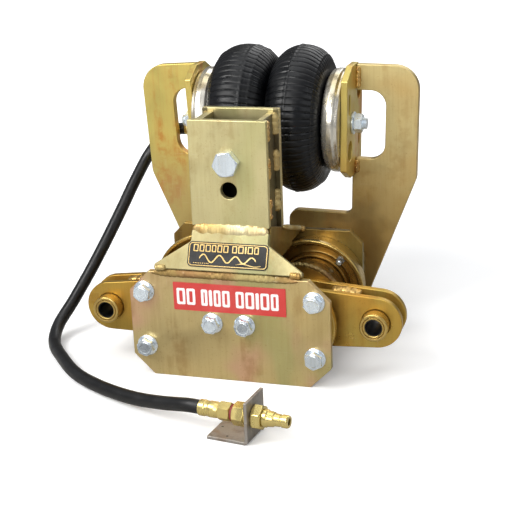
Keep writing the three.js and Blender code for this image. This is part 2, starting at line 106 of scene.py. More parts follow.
# from the upright drawing of the sloped plate to its lean
def onSaddle(points):
    y = points[:, 1] * np.cos(saddleLean) + points[:, 2] * np.sin(saddleLean) + saddle["bottomY"]
    z = points[:, 2] * np.cos(saddleLean) - points[:, 1] * np.sin(saddleLean) + saddle["bottomZ"]
    return np.column_stack([points[:, 0], y, z])


coupling = {"start": np.array([5, -97.5, 20.5]), "turn": np.radians(-8)}


# from the coupling's own line along +X to where it lies on the floor
def onCoupling(points):
    c, s = np.cos(coupling["turn"]), np.sin(coupling["turn"])
    x = points[:, 0] * c - points[:, 1] * s
    y = points[:, 0] * s + points[:, 1] * c
    return np.column_stack([x, y, points[:, 2]]) + coupling["start"]


# ---- camera and light ----

view = {"azimuth": 17.216, "elevation": 18.545, "roll": 2.234, "lens": 82.47}
cameraPlace = np.array([311.93, -916.84, 442.13])


def addCamera():
    a, e, r = np.radians([view["azimuth"], view["elevation"], view["roll"]])
    back = np.array([np.sin(a) * np.cos(e), -np.cos(a) * np.cos(e), np.sin(e)])
    across = np.array([np.cos(a), np.sin(a), 0])
    up = np.cross(back, across)
    x = across * np.cos(r) - up * np.sin(r)
    y = up * np.cos(r) + across * np.sin(r)
    data = bpy.data.cameras.new("camera")
    data.lens = view["lens"]
    data.sensor_width = 36
    data.clip_start = 0.01
    camera = newObject("camera", data)
    camera.matrix_world = placed(x, y, back, toRow(cameraPlace[None, :])[0])
    bpy.context.scene.camera = camera


lamps = {
    "key": {"place": (-0.8, -0.9, 1.3), "size": 0.8, "power": 19, "color": (1.0, 0.99, 0.97)},
    "front": {"place": (-0.1, -1.8, 0.9), "size": 0.9, "power": 16, "color": (1.0, 0.99, 0.97)},
    "fill": {"place": (1.3, -0.5, 0.8), "size": 0.9, "power": 2.6, "color": (0.96, 0.98, 1.0)},
    "rim": {"place": (0.3, 1.3, 1.2), "size": 1.2, "power": 9, "color": (1.0, 1.0, 1.0)},
    "overhead": {"place": (0.0, 0.1, 1.6), "size": 1.1, "power": 6, "color": (1.0, 1.0, 1.0)},
}


def addLight():
    aim = np.array([0, 0, 0.12])
    for name, lamp in lamps.items():
        data = bpy.data.lights.new(name, "AREA")
        data.size = lamp["size"]
        data.energy = lamp["power"]
        data.color = lamp["color"]
        away = np.array(lamp["place"]) - aim
        away = away / np.linalg.norm(away)
        side = np.cross([0, 0, 1], away)
        side = side / np.linalg.norm(side)
        newObject(name, data).matrix_world = placed(side, np.cross(away, side), away, lamp["place"])
    world = bpy.data.worlds.new("studio")
    world.use_nodes = True
    tree = world.node_tree
    sky = tree.nodes["Background"]
    sky.inputs["Color"].default_value = (0.93, 0.95, 1.0, 1)
    seen = tree.nodes.new("ShaderNodeLightPath").outputs["Is Camera Ray"]
    tree.links.new(ramp(tree, seen, 0.0, 1.0, 0.36, 1.05), sky.inputs["Strength"])
    bpy.context.scene.world = world
    bpy.context.scene.view_settings.view_transform = "Standard"


addCamera()
print("camera")


# ---- shader groups ----

def tone(r, g, b):
    c = np.array([r, g, b]) / 255
    c = np.where(c <= 0.04045, c / 12.92, ((c + 0.055) / 1.055) ** 2.4)
    return (float(c[0]), float(c[1]), float(c[2]), 1.0)


def addNode(tree, kind, settings=None, **inputs):
    made = tree.nodes.new(kind)
    for key, value in (settings or {}).items():
        setattr(made, key, value)
    for key, value in inputs.items():
        socket = made.inputs[int(key[1:])] if key[0] == "_" else made.inputs[key.replace("_", " ")]
        if isinstance(value, bpy.types.NodeSocket):
            tree.links.new(value, socket)
        else:
            socket.default_value = value
    return made


socketKinds = {"Color": "NodeSocketColor", "Vector": "NodeSocketVector", "Float": "NodeSocketFloat"}


def newGroup(name, inputs, outputs):
    tree = bpy.data.node_groups.new(name, "ShaderNodeTree")
    for label, kind, value in inputs:
        socket = tree.interface.new_socket(name=label, in_out="INPUT", socket_type=socketKinds[kind])
        if value is not None:
            socket.default_value = value
    for label, kind in outputs:
        tree.interface.new_socket(name=label, in_out="OUTPUT", socket_type=socketKinds[kind])
    return tree, tree.nodes.new("NodeGroupInput"), tree.nodes.new("NodeGroupOutput")


def noise(tree, vector, scale, detail=3.0, roughness=0.5, settings=None):
    return addNode(tree, "ShaderNodeTexNoise", settings, Vector=vector, Scale=scale, Detail=detail,
                   Roughness=roughness).outputs["Fac"]


def ramp(tree, value, low, high, start=0.0, end=1.0):
    return addNode(tree, "ShaderNodeMapRange", {"interpolation_type": "SMOOTHSTEP"}, _0=value, _1=low,
                   _2=high, _3=start, _4=end).outputs[0]


def sums(tree, operation, a, b):
    return addNode(tree, "ShaderNodeMath", {"operation": operation}, _0=a, _1=b).outputs[0]


def times(tree, a, b):
    return sums(tree, "MULTIPLY", a, b)


def plus(tree, a, b):
    return sums(tree, "ADD", a, b)


def mixed(tree, factor, a, b):
    return addNode(tree, "ShaderNodeMixRGB", None, Fac=factor, Color1=a, Color2=b).outputs[0]


def stretched(tree, vector, scale, turn=(0, 0, 0)):
    return addNode(tree, "ShaderNodeMapping", None, Vector=vector, Scale=scale, Rotation=turn).outputs[0]


def linkOut(tree, end, **values):
    for key, value in values.items():
        tree.links.new(value, end.inputs[key])


# fine scratches that run two ways, as a mask
def makeScuffs():
    tree, start, end = newGroup("scuffs", [("Position", "Vector", None), ("Amount", "Float", 0.5)],
                                [("Mask", "Float")])
    position = start.outputs["Position"]
    one = noise(tree, stretched(tree, position, (900, 900, 40), (0.3, 0.2, 0.5)), 1.0, 2.0)
    two = noise(tree, stretched(tree, position, (60, 900, 900), (0.1, 0.9, 0.3)), 1.0, 2.0)
    lines = sums(tree, "MAXIMUM", ramp(tree, one, 0.66, 0.74), ramp(tree, two, 0.67, 0.75))
    patch = ramp(tree, noise(tree, position, 22.0), 0.42, 0.62)
    mask = times(tree, times(tree, lines, patch), start.outputs["Amount"])
    linkOut(tree, end, Mask=mask)
    return tree


# zinc plating: slow colour drift, streaks that run down, cloudy roughness and a fine grain
def makePlating(scuffs):
    inputs = [
        ("Position", "Vector", None), ("Base", "Color", None), ("Warm", "Color", None),
        ("Cool", "Color", None), ("Stain", "Color", None), ("Drift scale", "Float", 16.0),
        ("Stain amount", "Float", 0.4), ("Wear", "Float", 0.4), ("Dull", "Float", 0.42),
        ("Low tone", "Color", None), ("Low amount", "Float", 0.0), ("Grain", "Float", 1.0),
    ]
    tree, start, end = newGroup("plating", inputs,
                                [("Color", "Color"), ("Roughness", "Float"), ("Height", "Float")])
    position = start.outputs["Position"]
    drift = noise(tree, position, start.outputs["Drift scale"], 2.0)
    band = noise(tree, stretched(tree, position, (14, 14, 5)), 1.6, 2.0)
    color = mixed(tree, ramp(tree, drift, 0.48, 0.68), start.outputs["Base"], start.outputs["Warm"])
    color = mixed(tree, ramp(tree, band, 0.52, 0.7), color, start.outputs["Cool"])
    streak = noise(tree, stretched(tree, position, (60, 60, 9)), 1.0, 4.0, 0.6)
    blotch = noise(tree, position, 48.0, 4.0, 0.65)
    stain = times(tree, ramp(tree, streak, 0.46, 0.64), ramp(tree, blotch, 0.4, 0.6))
    color = mixed(tree, times(tree, stain, start.outputs["Stain amount"]), color, start.outputs["Stain"])
    brush = ramp(tree, noise(tree, stretched(tree, position, (520, 520, 16)), 1.0, 3.0, 0.65), 0.42, 0.75)
    color = mixed(tree, times(tree, brush, 0.15), color, start.outputs["Stain"])
    speck = ramp(tree, noise(tree, position, 700.0, 1.0), 0.66, 0.76)
    color = mixed(tree, times(tree, speck, 0.35), color, start.outputs["Stain"])
    level = addNode(tree, "ShaderNodeSeparateXYZ", None, Vector=position).outputs["Z"]
    level = plus(tree, level, ramp(tree, drift, 0.3, 0.7, -0.02, 0.02))
    low = times(tree, ramp(tree, level, 0.19, 0.06), start.outputs["Low amount"])
    color = mixed(tree, low, color, start.outputs["Low tone"])
    scuff = addNode(tree, "ShaderNodeGroup", {"node_tree": scuffs}, Position=position,
                    Amount=start.outputs["Wear"]).outputs["Mask"]
    color = mixed(tree, scuff, color, tone(232, 224, 200))
    cloud = ramp(tree, noise(tree, position, 30.0, 5.0, 0.65), 0.3, 0.7, -0.1, 0.12)
    rough = plus(tree, start.outputs["Dull"], cloud)
    rough = sums(tree, "SUBTRACT", rough, times(tree, scuff, 0.12))
    grain = noise(tree, position, 1500.0, 2.0)
    dimple = noise(tree, position, 260.0, 2.0)
    height = plus(tree, times(tree, grain, 0.35), times(tree, dimple, 0.6))
    height = times(tree, height, start.outputs["Grain"])
    height = sums(tree, "SUBTRACT", height, times(tree, scuff, 0.5))
    linkOut(tree, end, Color=color, Roughness=rough, Height=height)
    return tree


# fine lines left by a lathe: noise along the piece's own axis only
def makeLatheLines():
    inputs = [("Position", "Vector", None), ("Axis", "Vector", (0, 1, 0)), ("Pitch", "Float", 1800.0)]
    tree, start, end = newGroup("latheLines", inputs, [("Mask", "Float"), ("Height", "Float")])
    along = addNode(tree, "ShaderNodeVectorMath", {"operation": "DOT_PRODUCT"},
                    _0=start.outputs["Position"], _1=start.outputs["Axis"]).outputs["Value"]
    fine = addNode(tree, "ShaderNodeTexNoise", {"noise_dimensions": "1D"}, W=along,
                   Scale=start.outputs["Pitch"], Detail=2.0).outputs["Fac"]
    broad = addNode(tree, "ShaderNodeTexNoise", {"noise_dimensions": "1D"}, W=along, Scale=220.0,
                    Detail=3.0).outputs["Fac"]
    linkOut(tree, end, Mask=ramp(tree, broad, 0.35, 0.65), Height=fine)
    return tree


# moulded rubber: grey bloom in patches, dull and polished areas, a pebbled skin
def makeRubber(scuffs):
    inputs = [("Position", "Vector", None), ("Base", "Color", None), ("Bloom", "Color", None),
              ("Bloom amount", "Float", 0.5), ("Dull", "Float", 0.5)]
    tree, start, end = newGroup("rubberSkin", inputs,
                                [("Color", "Color"), ("Roughness", "Float"), ("Height", "Float")])
    position = start.outputs["Position"]
    patch = ramp(tree, noise(tree, position, 26.0, 5.0, 0.6), 0.42, 0.7)
    color = mixed(tree, times(tree, patch, start.outputs["Bloom amount"]), start.outputs["Base"],
                  start.outputs["Bloom"])
    scuff = addNode(tree, "ShaderNodeGroup", {"node_tree": scuffs}, Position=position,
                    Amount=0.35).outputs["Mask"]
    color = mixed(tree, scuff, color, tone(96, 98, 102))
    rough = plus(tree, start.outputs["Dull"],
                 ramp(tree, noise(tree, position, 60.0), 0.3, 0.7, -0.09, 0.12))
    pebble = noise(tree, position, 1100.0, 2.0)
    height = plus(tree, times(tree, pebble, 0.6), times(tree, patch, 0.4))
    linkOut(tree, end, Color=color, Roughness=rough, Height=height)
    return tree


scuffGroup = makeScuffs()
platingGroup = makePlating(scuffGroup)
latheGroup = makeLatheLines()
rubberGroup = makeRubber(scuffGroup)
addLight()
print("shader groups and light")


# ---- materials ----

materials = {}


def startMaterial(name, metallic):
    materials[name] = bpy.data.materials.new(name)
    materials[name].use_nodes = True
    tree = materials[name].node_tree
    shader = tree.nodes["Principled BSDF"]
    shader.inputs["Metallic"].default_value = metallic
    return tree, shader, tree.nodes.new("ShaderNodeTexCoord").outputs["Object"]


def addSkin(tree, group, position, values):
    skin = addNode(tree, "ShaderNodeGroup", {"node_tree": group}, Position=position)
    for key, value in values.items():
        skin.inputs[key].default_value = value
    return skin.outputs["Color"], skin.outputs["Roughness"], skin.outputs["Height"]


def finishMaterial(tree, shader, color, rough, height, depth):
    bump = addNode(tree, "ShaderNodeBump", None, Height=height, Strength=0.6, Distance=depth)
    tree.links.new(color, shader.inputs["Base Color"])
    tree.links.new(rough, shader.inputs["Roughness"])
    tree.links.new(bump.outputs["Normal"], shader.inputs["Normal"])


# painted shade in the box and in the grooves down its sides: masks of depth, width and distance below the
# mouth
def makeBoxShade(tree, position):
    split = addNode(tree, "ShaderNodeSeparateXYZ", None, Vector=position)
    width = sums(tree, "ABSOLUTE", split.outputs["X"], 0.0)
    near = ramp(tree, split.outputs["Y"], -0.1000, -0.0984)
    between = times(tree, near, ramp(tree, split.outputs["Y"], -0.0620, -0.0636))
    deep = ramp(tree, split.outputs["Z"], 0.241, 0.214)
    inside = times(tree, ramp(tree, width, 0.0262, 0.0256), deep)
    groove = times(tree, ramp(tree, width, 0.0300, 0.0306), ramp(tree, width, 0.0356, 0.0350))
    return times(tree, between,
                sums(tree, "MAXIMUM", inside, times(tree, groove, 0.8)))


platings = {
    "plateGold": {"Base": tone(208, 187, 132), "Warm": tone(212, 172, 138), "Cool": tone(190, 181, 124),
                  "Stain": tone(164, 122, 66), "Stain amount": 0.45, "Wear": 0.15, "Dull": 0.4},
    "boxGold": {"Base": tone(214, 203, 152), "Warm": tone(219, 202, 156), "Cool": tone(200, 194, 138),
                "Stain": tone(172, 142, 86), "Stain amount": 0.4, "Wear": 0.15, "Dull": 0.4},
    "saddleGold": {"Base": tone(168, 158, 116), "Warm": tone(172, 152, 110), "Cool": tone(156, 154, 112),
                   "Stain": tone(148, 118, 66), "Stain amount": 0.45, "Wear": 0.15, "Dull": 0.5},
    "armGold": {"Base": tone(214, 194, 110), "Warm": tone(216, 184, 100), "Cool": tone(204, 194, 112),
                "Stain": tone(204, 134, 62), "Stain amount": 0.75, "Wear": 0.15, "Dull": 0.38,
                "Low tone": tone(196, 172, 122), "Low amount": 0.6},
    # the right arm's shaded copy of the arm plating: painted shade, darker towards its bottom
    "armShaded": {"Base": tone(208, 190, 134), "Warm": tone(206, 178, 118), "Cool": tone(198, 188, 130),
                 "Stain": tone(168, 124, 64), "Stain amount": 0.35, "Wear": 0.15, "Dull": 0.38,
                 "Low tone": tone(186, 150, 84), "Low amount": 0.8},
    "lugGold": {"Base": tone(192, 158, 74), "Warm": tone(198, 152, 66), "Cool": tone(184, 162, 84),
                "Stain": tone(150, 106, 42), "Stain amount": 0.45, "Wear": 0.15, "Dull": 0.36},
    # darker copy of the gold plating for the rear plate, side ribs and deck: painted shade behind and under
    # the box
    "shadedGold": {"Base": tone(150, 126, 70), "Warm": tone(154, 114, 66), "Cool": tone(134, 120, 68),
                  "Stain": tone(96, 72, 36), "Stain amount": 0.5, "Wear": 0.15, "Dull": 0.38},
    "weldGold": {"Base": tone(206, 184, 126), "Warm": tone(194, 156, 92), "Cool": tone(218, 208, 168),
                 "Stain": tone(132, 94, 46), "Stain amount": 0.3, "Drift scale": 34.0, "Dull": 0.46,
                 "Grain": 0.3},
    "beadGold": {"Base": tone(206, 168, 98), "Warm": tone(186, 128, 66), "Cool": tone(228, 210, 160),
                 "Stain": tone(96, 62, 30), "Stain amount": 0.6, "Drift scale": 80.0, "Dull": 0.26,
                 "Grain": 0.2},
    "seamGold": {"Base": tone(134, 112, 66), "Warm": tone(122, 92, 56), "Cool": tone(146, 132, 86),
                 "Stain": tone(92, 66, 34), "Stain amount": 0.4, "Drift scale": 34.0, "Dull": 0.44,
                 "Grain": 0.4},
    "rawSteel": {"Base": tone(160, 154, 147), "Warm": tone(150, 132, 114), "Cool": tone(150, 148, 146),
                 "Stain": tone(80, 64, 52), "Stain amount": 0.7, "Drift scale": 50.0, "Wear": 0.6,
                 "Dull": 0.42},
    "beadSilver": {"Base": tone(226, 222, 210), "Warm": tone(210, 196, 160), "Cool": tone(196, 198, 196),
                   "Stain": tone(112, 98, 76), "Stain amount": 0.7, "Drift scale": 34.0, "Dull": 0.24,
                   "Grain": 0.5},
}
for name, values in platings.items():
    tree, shader, position = startMaterial(name, 0.78 if name != "rawSteel" else 0.6)
    color, rough, height = addSkin(tree, platingGroup, position, values)
    if name == "boxGold":
        # painted shade: the inside of the box and its side grooves darkened towards near-black
        color = mixed(tree, makeBoxShade(tree, position), color, tone(46, 40, 26))
    finishMaterial(tree, shader, color, rough, height, 0.0002)

turnings = {
    # darker copy of the turned plating for the bearing carrier and hub tube: painted shade inside the
    # bearing housing
    "turnedShaded": {"plating": "shadedGold", "base": tone(184, 150, 82), "axis": (0, 1, 0), "pitch": 1500.0,
                   "dull": 0.3, "metal": 0.9, "stain": 0.4},
    "turnedGold": {"plating": "lugGold", "base": tone(198, 170, 100), "axis": (0, 1, 0), "pitch": 1500.0,
                   "dull": 0.24, "metal": 0.9, "stain": 0.3},
    "brassX": {"plating": "lugGold", "base": tone(224, 204, 132), "axis": (0.99, -0.14, 0),
               "pitch": 2400.0, "dull": 0.2, "metal": 0.85, "stain": 0.12},
    "zincBright": {"plating": "beadSilver", "base": tone(232, 243, 252), "axis": (0, 1, 0),
                   "pitch": 1500.0, "dull": 0.18, "metal": 0.78, "stain": 0.1},
}
for name, turning in turnings.items():
    tree, shader, position = startMaterial(name, turning["metal"])
    base = turning["base"]
    values = platings[turning["plating"]] | {
        "Base": base, "Warm": base, "Cool": base, "Stain amount": turning["stain"], "Low amount": 0.0,
        "Grain": 0.12, "Dull": turning["dull"],
    }
    color, rough, height = addSkin(tree, platingGroup, position, values)
    lines = addNode(tree, "ShaderNodeGroup", {"node_tree": latheGroup}, Position=position,
                    Axis=turning["axis"], Pitch=turning["pitch"])
    rough = plus(tree, rough, times(tree, lines.outputs["Mask"], 0.08))
    height = plus(tree, height, times(tree, lines.outputs["Height"], 0.05))
    finishMaterial(tree, shader, color, rough, height, 0.00012)

rubbers = {
    "bagRubber": {"Base": tone(3, 4, 6), "Bloom": tone(14, 17, 23), "Bloom amount": 0.4, "Dull": 0.34},
    "hoseRubber": {"Base": tone(9, 9, 10), "Bloom": tone(24, 25, 28), "Bloom amount": 0.4, "Dull": 0.38},
    "sealRubber": {"Base": tone(128, 38, 34), "Bloom": tone(150, 70, 60), "Bloom amount": 0.4,
                   "Dull": 0.5},
    "badgeBlack": {"Base": tone(8, 7, 6), "Bloom": tone(20, 18, 14), "Bloom amount": 0.4, "Dull": 0.5},
    "badgeGold": {"Base": tone(196, 166, 104), "Bloom": tone(214, 190, 130), "Bloom amount": 0.6,
                  "Dull": 0.36},
    "labelRed": {"Base": tone(204, 64, 60), "Bloom": tone(214, 92, 84), "Bloom amount": 0.5, "Dull": 0.42},
    "labelWhite": {"Base": tone(252, 250, 248), "Bloom": tone(238, 230, 226), "Bloom amount": 0.5,
                   "Dull": 0.45},
}
for name, values in rubbers.items():
    tree, shader, position = startMaterial(name, 0.7 if name == "badgeGold" else 0.0)
    color, rough, height = addSkin(tree, rubberGroup, position, values)
    shader.inputs["Specular IOR Level"].default_value = 0.34 if name == "bagRubber" else 0.5
    finishMaterial(tree, shader, color, rough, height, 0.00015)
print("materials")


# ---- making meshes ----

# a name that ends in _skin says which node of the frame the piece stands for
def addPiece(name, points, faces, material, body, sharp=32.0):
    mesh = bpy.data.meshes.new(name)
    mesh.from_pydata(toRow(points).tolist(), [], faces if isinstance(faces, list) else faces.tolist())
    work = bmesh.new()
    work.from_mesh(mesh)
    bmesh.ops.remove_doubles(work, verts=work.verts, dist=2e-6)
    bmesh.ops.dissolve_degenerate(work, edges=work.edges, dist=1e-6)
    bmesh.ops.recalc_face_normals(work, faces=work.faces)
    work.to_mesh(mesh)
    work.free()
    mesh.materials.append(materials[material])
    mesh.shade_smooth()
    mesh.set_sharp_from_angle(angle=np.radians(sharp))
    piece = newObject(name, mesh)
    if body:
        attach(piece, body)
        piece.modifiers.new("flatFaces", "WEIGHTED_NORMAL").keep_sharp = True
    if name.endswith("_skin"):
        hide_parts(name.removesuffix("_skin"))
    return piece


# quads between rows of a grid, closed round one way or both
def gridFaces(rows, columns, closeRows=False, closeColumns=False):
    r = np.arange(rows if closeRows else rows - 1)[:, None]
    c = np.arange(columns if closeColumns else columns - 1)[None, :]
    r2, c2 = (r + 1) % rows, (c + 1) % columns
    quads = [r * columns + c, r2 * columns + c, r2 * columns + c2, r * columns + c2]
    return np.stack([q + np.zeros_like(r * columns + c) for q in quads], axis=-1).reshape(-1, 4)


# a closed outline from [x, y, radius] corners: each rounded corner is an arc between its tangent points
def roundedOutline(corners, steps=10):
    points = []
    count = len(corners)
    for i, corner in enumerate(corners):
        here = np.array(corner[:2], float)
        radius = corner[2] if len(corner) > 2 else 0
        before = np.array(corners[i - 1][:2], float) - here
        after = np.array(corners[(i + 1) % count][:2], float) - here
        before = before / np.linalg.norm(before)
        after = after / np.linalg.norm(after)
        half = np.arccos(np.clip(before @ after, -1, 1)) / 2
        if radius == 0 or half > 1.56:
            points.append(here[None, :])
            continue
        middle = (before + after) / np.linalg.norm(before + after)
        centre = here + middle * radius / np.sin(half)
        first = here + before * radius / np.tan(half) - centre
        last = here + after * radius / np.tan(half) - centre
        a0 = np.arctan2(first[1], first[0])
        turn = np.arctan2(last[1], last[0]) - a0
        turn = (turn + np.pi) % (2 * np.pi) - np.pi
        angles = a0 + turn * np.linspace(0, 1, steps + 1)
        points.append(centre + radius * np.column_stack([np.cos(angles), np.sin(angles)]))
    return np.concatenate(points)


def circle(x, y, radius, count=64):
    a = np.linspace(0, 2 * np.pi, count, endpoint=False)
    return np.column_stack([x + radius * np.cos(a), y + radius * np.sin(a)])


# a rectangle with rounded corners: one radius for the bottom two and one for the top two
def rectangle(x0, x1, z0, z1, low, high=None, steps=4):
    high = low if high is None else high
    return roundedOutline([[x0, z0, low], [x1, z0, low], [x1, z1, high], [x0, z1, high]], steps)


# a rectangle with its corners cut off, by (across, up) at the bottom and at the top
def cutRectangle(x0, x1, z0, z1, low, high, radius):
    (a, b), (c, d) = low, high
    corners = [[x0 + a, z0], [x1 - a, z0], [x1, z0 + b], [x1, z1 - d], [x1 - c, z1], [x0 + c, z1],
               [x0, z1 - d], [x0, z0 + b]]
    return roundedOutline([[*corner, radius] for corner in corners], 4)


def slotLoop(x, y, width, height):
    w, h = width / 2, height / 2
    return rectangle(x - w, x + w, y - h, y + h, w - 0.01, steps=10)


# a flat plate with softened edges, as points (u, v, w) with w through its thickness from 0
def plateMesh(loops, thickness, edge=0.5):
    curve = bpy.data.curves.new("outline", "CURVE")
    curve.dimensions = "2D"
    curve.fill_mode = "BOTH"
    curve.extrude = thickness / 2 - edge
    curve.bevel_depth = edge
    curve.bevel_resolution = 2
    curve.offset = -edge
    for loop in loops:
        spline = curve.splines.new("POLY")
        spline.points.add(len(loop) - 1)
        flat = np.column_stack([loop, np.zeros(len(loop)), np.ones(len(loop))])
        spline.points.foreach_set("co", flat.ravel())
        spline.use_cyclic_u = True
    thing = newObject("outline", curve)
    seen = thing.evaluated_get(bpy.context.evaluated_depsgraph_get())
    mesh = bpy.data.meshes.new_from_object(seen)
    points = np.zeros(len(mesh.vertices) * 3)
    mesh.vertices.foreach_get("co", points)
    points = points.reshape(-1, 3) + np.array([0, 0, thickness / 2])
    faces = [list(p.vertices) for p in mesh.polygons]
    bpy.data.objects.remove(thing)
    bpy.data.curves.remove(curve)
    bpy.data.meshes.remove(mesh)
    return points, faces


def facing(points, y0):
    return np.column_stack([points[:, 0], y0 + points[:, 2], points[:, 1]])


def sideways(points, x0):
    return np.column_stack([x0 + points[:, 2], points[:, 0], points[:, 1]])


def addPlate(name, loops, thickness, put, material, body, edge=0.5):
    points, faces = plateMesh(loops, thickness, edge)
    return addPiece(name, put(points), faces, material, body, 40)


# surface of revolution: the profile's (radius, along) points carried round, hexagonal where flats are given
def revolved(profile, segments=96, flats=None, phase=0.0):
    turn = np.linspace(0, 2 * np.pi, segments, endpoint=False)[:, None]
    radius = profile[None, :, 0] + np.zeros_like(turn)
    if flats is not None:
        wedge = (turn + phase) % (np.pi / 3) - np.pi / 6
        face = flats[None, :] / 2 / np.cos(wedge)
        radius = np.where(flats[None, :] > 0, np.minimum(radius, face), radius)
    along = profile[None, :, 1] + np.zeros_like(turn)
    points = np.stack([radius * np.cos(turn), along, radius * np.sin(turn)], axis=-1).reshape(-1, 3)
    return points, gridFaces(segments, len(profile), True, True)


def alongX(points):
    return np.column_stack([points[:, 1], -points[:, 0], points[:, 2]])


# from a piece drawn along its own axis to one of the bag plates
def atBag(side, y, z):
    return lambda p: onArm(alongX(p) + np.array([0, y, z]), side)


def addRevolved(name, corners, put, material, body, segments=96, steps=4):
    profile = roundedOutline(corners, steps)
    points, faces = revolved(profile, segments)
    return addPiece(name, put(points), faces, material, body)


# several revolved bodies in one piece, such as a bolt's head, flange and shank
def addTurnedSet(name, parts, put, material, body, sharp=26.0):
    allPoints, allFaces, count = [], [], 0
    for profile, flats, phase in parts:
        points, faces = revolved(profile, 96, flats, phase)
        allPoints.append(points)
        allFaces.append(faces + count)
        count += len(points)
    return addPiece(name, put(np.concatenate(allPoints)), np.concatenate(allFaces), material, body,
                    sharp)


def addBright(name, parts, put, body="hanger"):
    addTurnedSet(f"{name}_skin", parts, put, "zincBright", body)


def addMarks(name, marks, put, material):
    counts = np.cumsum([0] + [len(p) for p, _ in marks])
    points = put(np.concatenate([p for p, _ in marks]))
    faces = [[i + int(start) for i in face] for (_, found), start in zip(marks, counts) for face in found]
    return addPiece(name, points, faces, material, "hanger")


def roundPart(corners, steps=4):
    return (roundedOutline(corners, steps), None, 0.0)


# a hexagon head or nut between two stations, its corners cut by a cone at its free ends
def hexPart(across, t0, t1, phase=0.0, inner=0.0, chamferEnd=True):
    corner, narrow = across / np.sqrt(3), across / 2 * 0.97
    cut = corner - narrow
    rise = np.linspace(0, 1, 7)
    radius = [inner, *(narrow + cut * rise)]
    along = [t0, *(t0 + cut * 0.6 * rise)]
    if chamferEnd:
        radius += list(corner - cut * rise)
        along += list(t1 - cut * 0.6 * rise[::-1])
    else:
        radius.append(corner)
        along.append(t1)
    profile = np.column_stack([[*radius, inner], [*along, t1]])
    flats = np.full(len(profile), across)
    flats[[0, -1]] = 0
    return (profile, flats, phase)


# screw thread: radius rises and falls once a pitch, so the profile is a row of crests and roots
def threadPart(radius, t0, t1, pitch=1.5, depth=0.6):
    turns = max(2, int(abs(t1 - t0) / pitch))
    along = np.linspace(t0, t1, turns * 2 + 1)
    radii = np.where(np.arange(len(along)) % 2 == 0, radius - depth, radius)
    profile = np.column_stack([np.concatenate([[0], radii, [0]]), np.concatenate([[t0], along, [t1]])])
    return (profile, None, 0.0)


def distances(path):
    return np.concatenate([[0], np.cumsum(np.linalg.norm(np.diff(path, axis=0), axis=1))])


def pointsAt(path, far, stations):
    return np.column_stack([np.interp(stations, far, path[:, k]) for k in range(3)])


# two directions across a line at each of its points: the one nearest to the guide, and one square to it
def lineFrame(line, guide):
    tangent = np.gradient(line, axis=0)
    tangent = tangent / np.linalg.norm(tangent, axis=1)[:, None]
    out = guide - (guide * tangent).sum(1)[:, None] * tangent
    out = out / np.linalg.norm(out, axis=1)[:, None]
    return out[:, None, :], np.cross(tangent, out)[:, None, :]


# a tube from one ring of points per station of a line, closed by a fan at each end
def sweptMesh(line, ring):
    count, sides = ring.shape[:2]
    points = np.concatenate([(line[:, None, :] + ring).reshape(-1, 3), line[:1], line[-1:]])
    faces = gridFaces(count, sides, False, True).tolist()
    last = (count - 1) * sides
    pairs = [(i, (i + 1) % sides) for i in range(sides)]
    faces += [[i, j, count * sides] for i, j in pairs]
    faces += [[last + j, last + i, count * sides + 1] for i, j in pairs]
    return points, faces


# weld bead: a flattened tube along a line; its width and height drift by a sum of slow sines, with a faint
# ripple once a pitch, bowed backwards
def weldBead(path, width, height, pitch, seed, up, steps=14):
    path = np.array(path, float)
    far = distances(path)
    length = far[-1]
    s = np.linspace(0, length, max(14, int(length / pitch * 5)))
    line = pointsAt(path, far, s)
    out, across = lineFrame(line, up(line) if callable(up) else np.array(up, float))
    phi = np.linspace(0, 2 * np.pi, steps, endpoint=False)[None, :]
    chance = np.random.default_rng(seed)
    waves = np.arange(1, max(4, int(length / width * 1.7)) + 1)
    shares = chance.normal(0, 1, (2, len(waves))) / np.sqrt(len(waves))
    starts = chance.uniform(0, 2 * np.pi, (2, len(waves)))
    turns = 2 * np.pi * waves * s[:, None] / length
    swell = (shares[0] * np.sin(turns + starts[0])).sum(1)[:, None]
    rise = (shares[1] * np.sin(turns + starts[1])).sum(1)[:, None]
    bow = s[:, None] / pitch * 2 * np.pi + 1.6 * np.sin(phi)
    taper = np.clip(1 - np.abs(2 * s / length - 1)[:, None] ** 8, 0.02, 1) ** 0.5
    a = width / 2 * (1 + 0.02 * np.sin(bow) + 0.09 * swell) * taper
    b = height * (1 + 0.03 * np.sin(bow) + 0.16 * rise) * taper
    return sweptMesh(line, (np.cos(phi) * a)[..., None] * across + (np.sin(phi) * b)[..., None] * out)


print("mesh tools")

# ---- plates of the fixed body ----

steel = layout["plate"]
bagFace = layout["bagPlateX"] + steel + layout["gap"]
frontEdge = {"half": 92.7, "top": 100.0, "chamfer": 19.0}
rearEdge = {"y": 124.5, "half": 95.5, "top": 107.0, "topChamfer": 12.0, "bottomChamfer": 19.0}
box = {"y": 17.0, "half": 35.5, "depth": 48.0, "bottom": 139.5, "top": 234.5, "webX": 25.0, "web": 6.0,
       "boltZ": 197.5, "spareZ": 172.5, "hole": 7.5}
rib = {"frontY": 27.0, "frontZ": 139.0, "rearZ": 107.5, "thickness": 6.1, "deck": (101.5, 107.9)}


def ribTop(y):
    fall, run = rib["rearZ"] - rib["frontZ"], rearEdge["y"] - rib["frontY"]
    return rib["frontZ"] + fall * (y - rib["frontY"]) / run


def addFixed(name, loops, thickness, put, material, edge=0.5):
    addPlate(f"{name}_skin", loops, thickness, put, material, "hanger", edge)


def addEndPlates():
    w, t, c = frontEdge["half"], frontEdge["top"], frontEdge["chamfer"]
    loop = cutRectangle(-w, w, 0, t, (c, c), (c, c), 1.5)
    addFixed("front_plate", [loop], steel, lambda p: facing(p, 0), "plateGold", 0.8)
    w, t, a, b = rearEdge["half"], rearEdge["top"], rearEdge["topChamfer"], rearEdge["bottomChamfer"]
    loop = cutRectangle(-w, w, 0, t, (b, b), (a, a), 1.5)
    holes = [circle(sign * layout["pivotX"], layout["pivotZ"], 36) for sign in (-1, 1)]
    addFixed("rear_plate", [loop, *holes], steel, lambda p: facing(p, rearEdge["y"]), "shadedGold", 0.7)


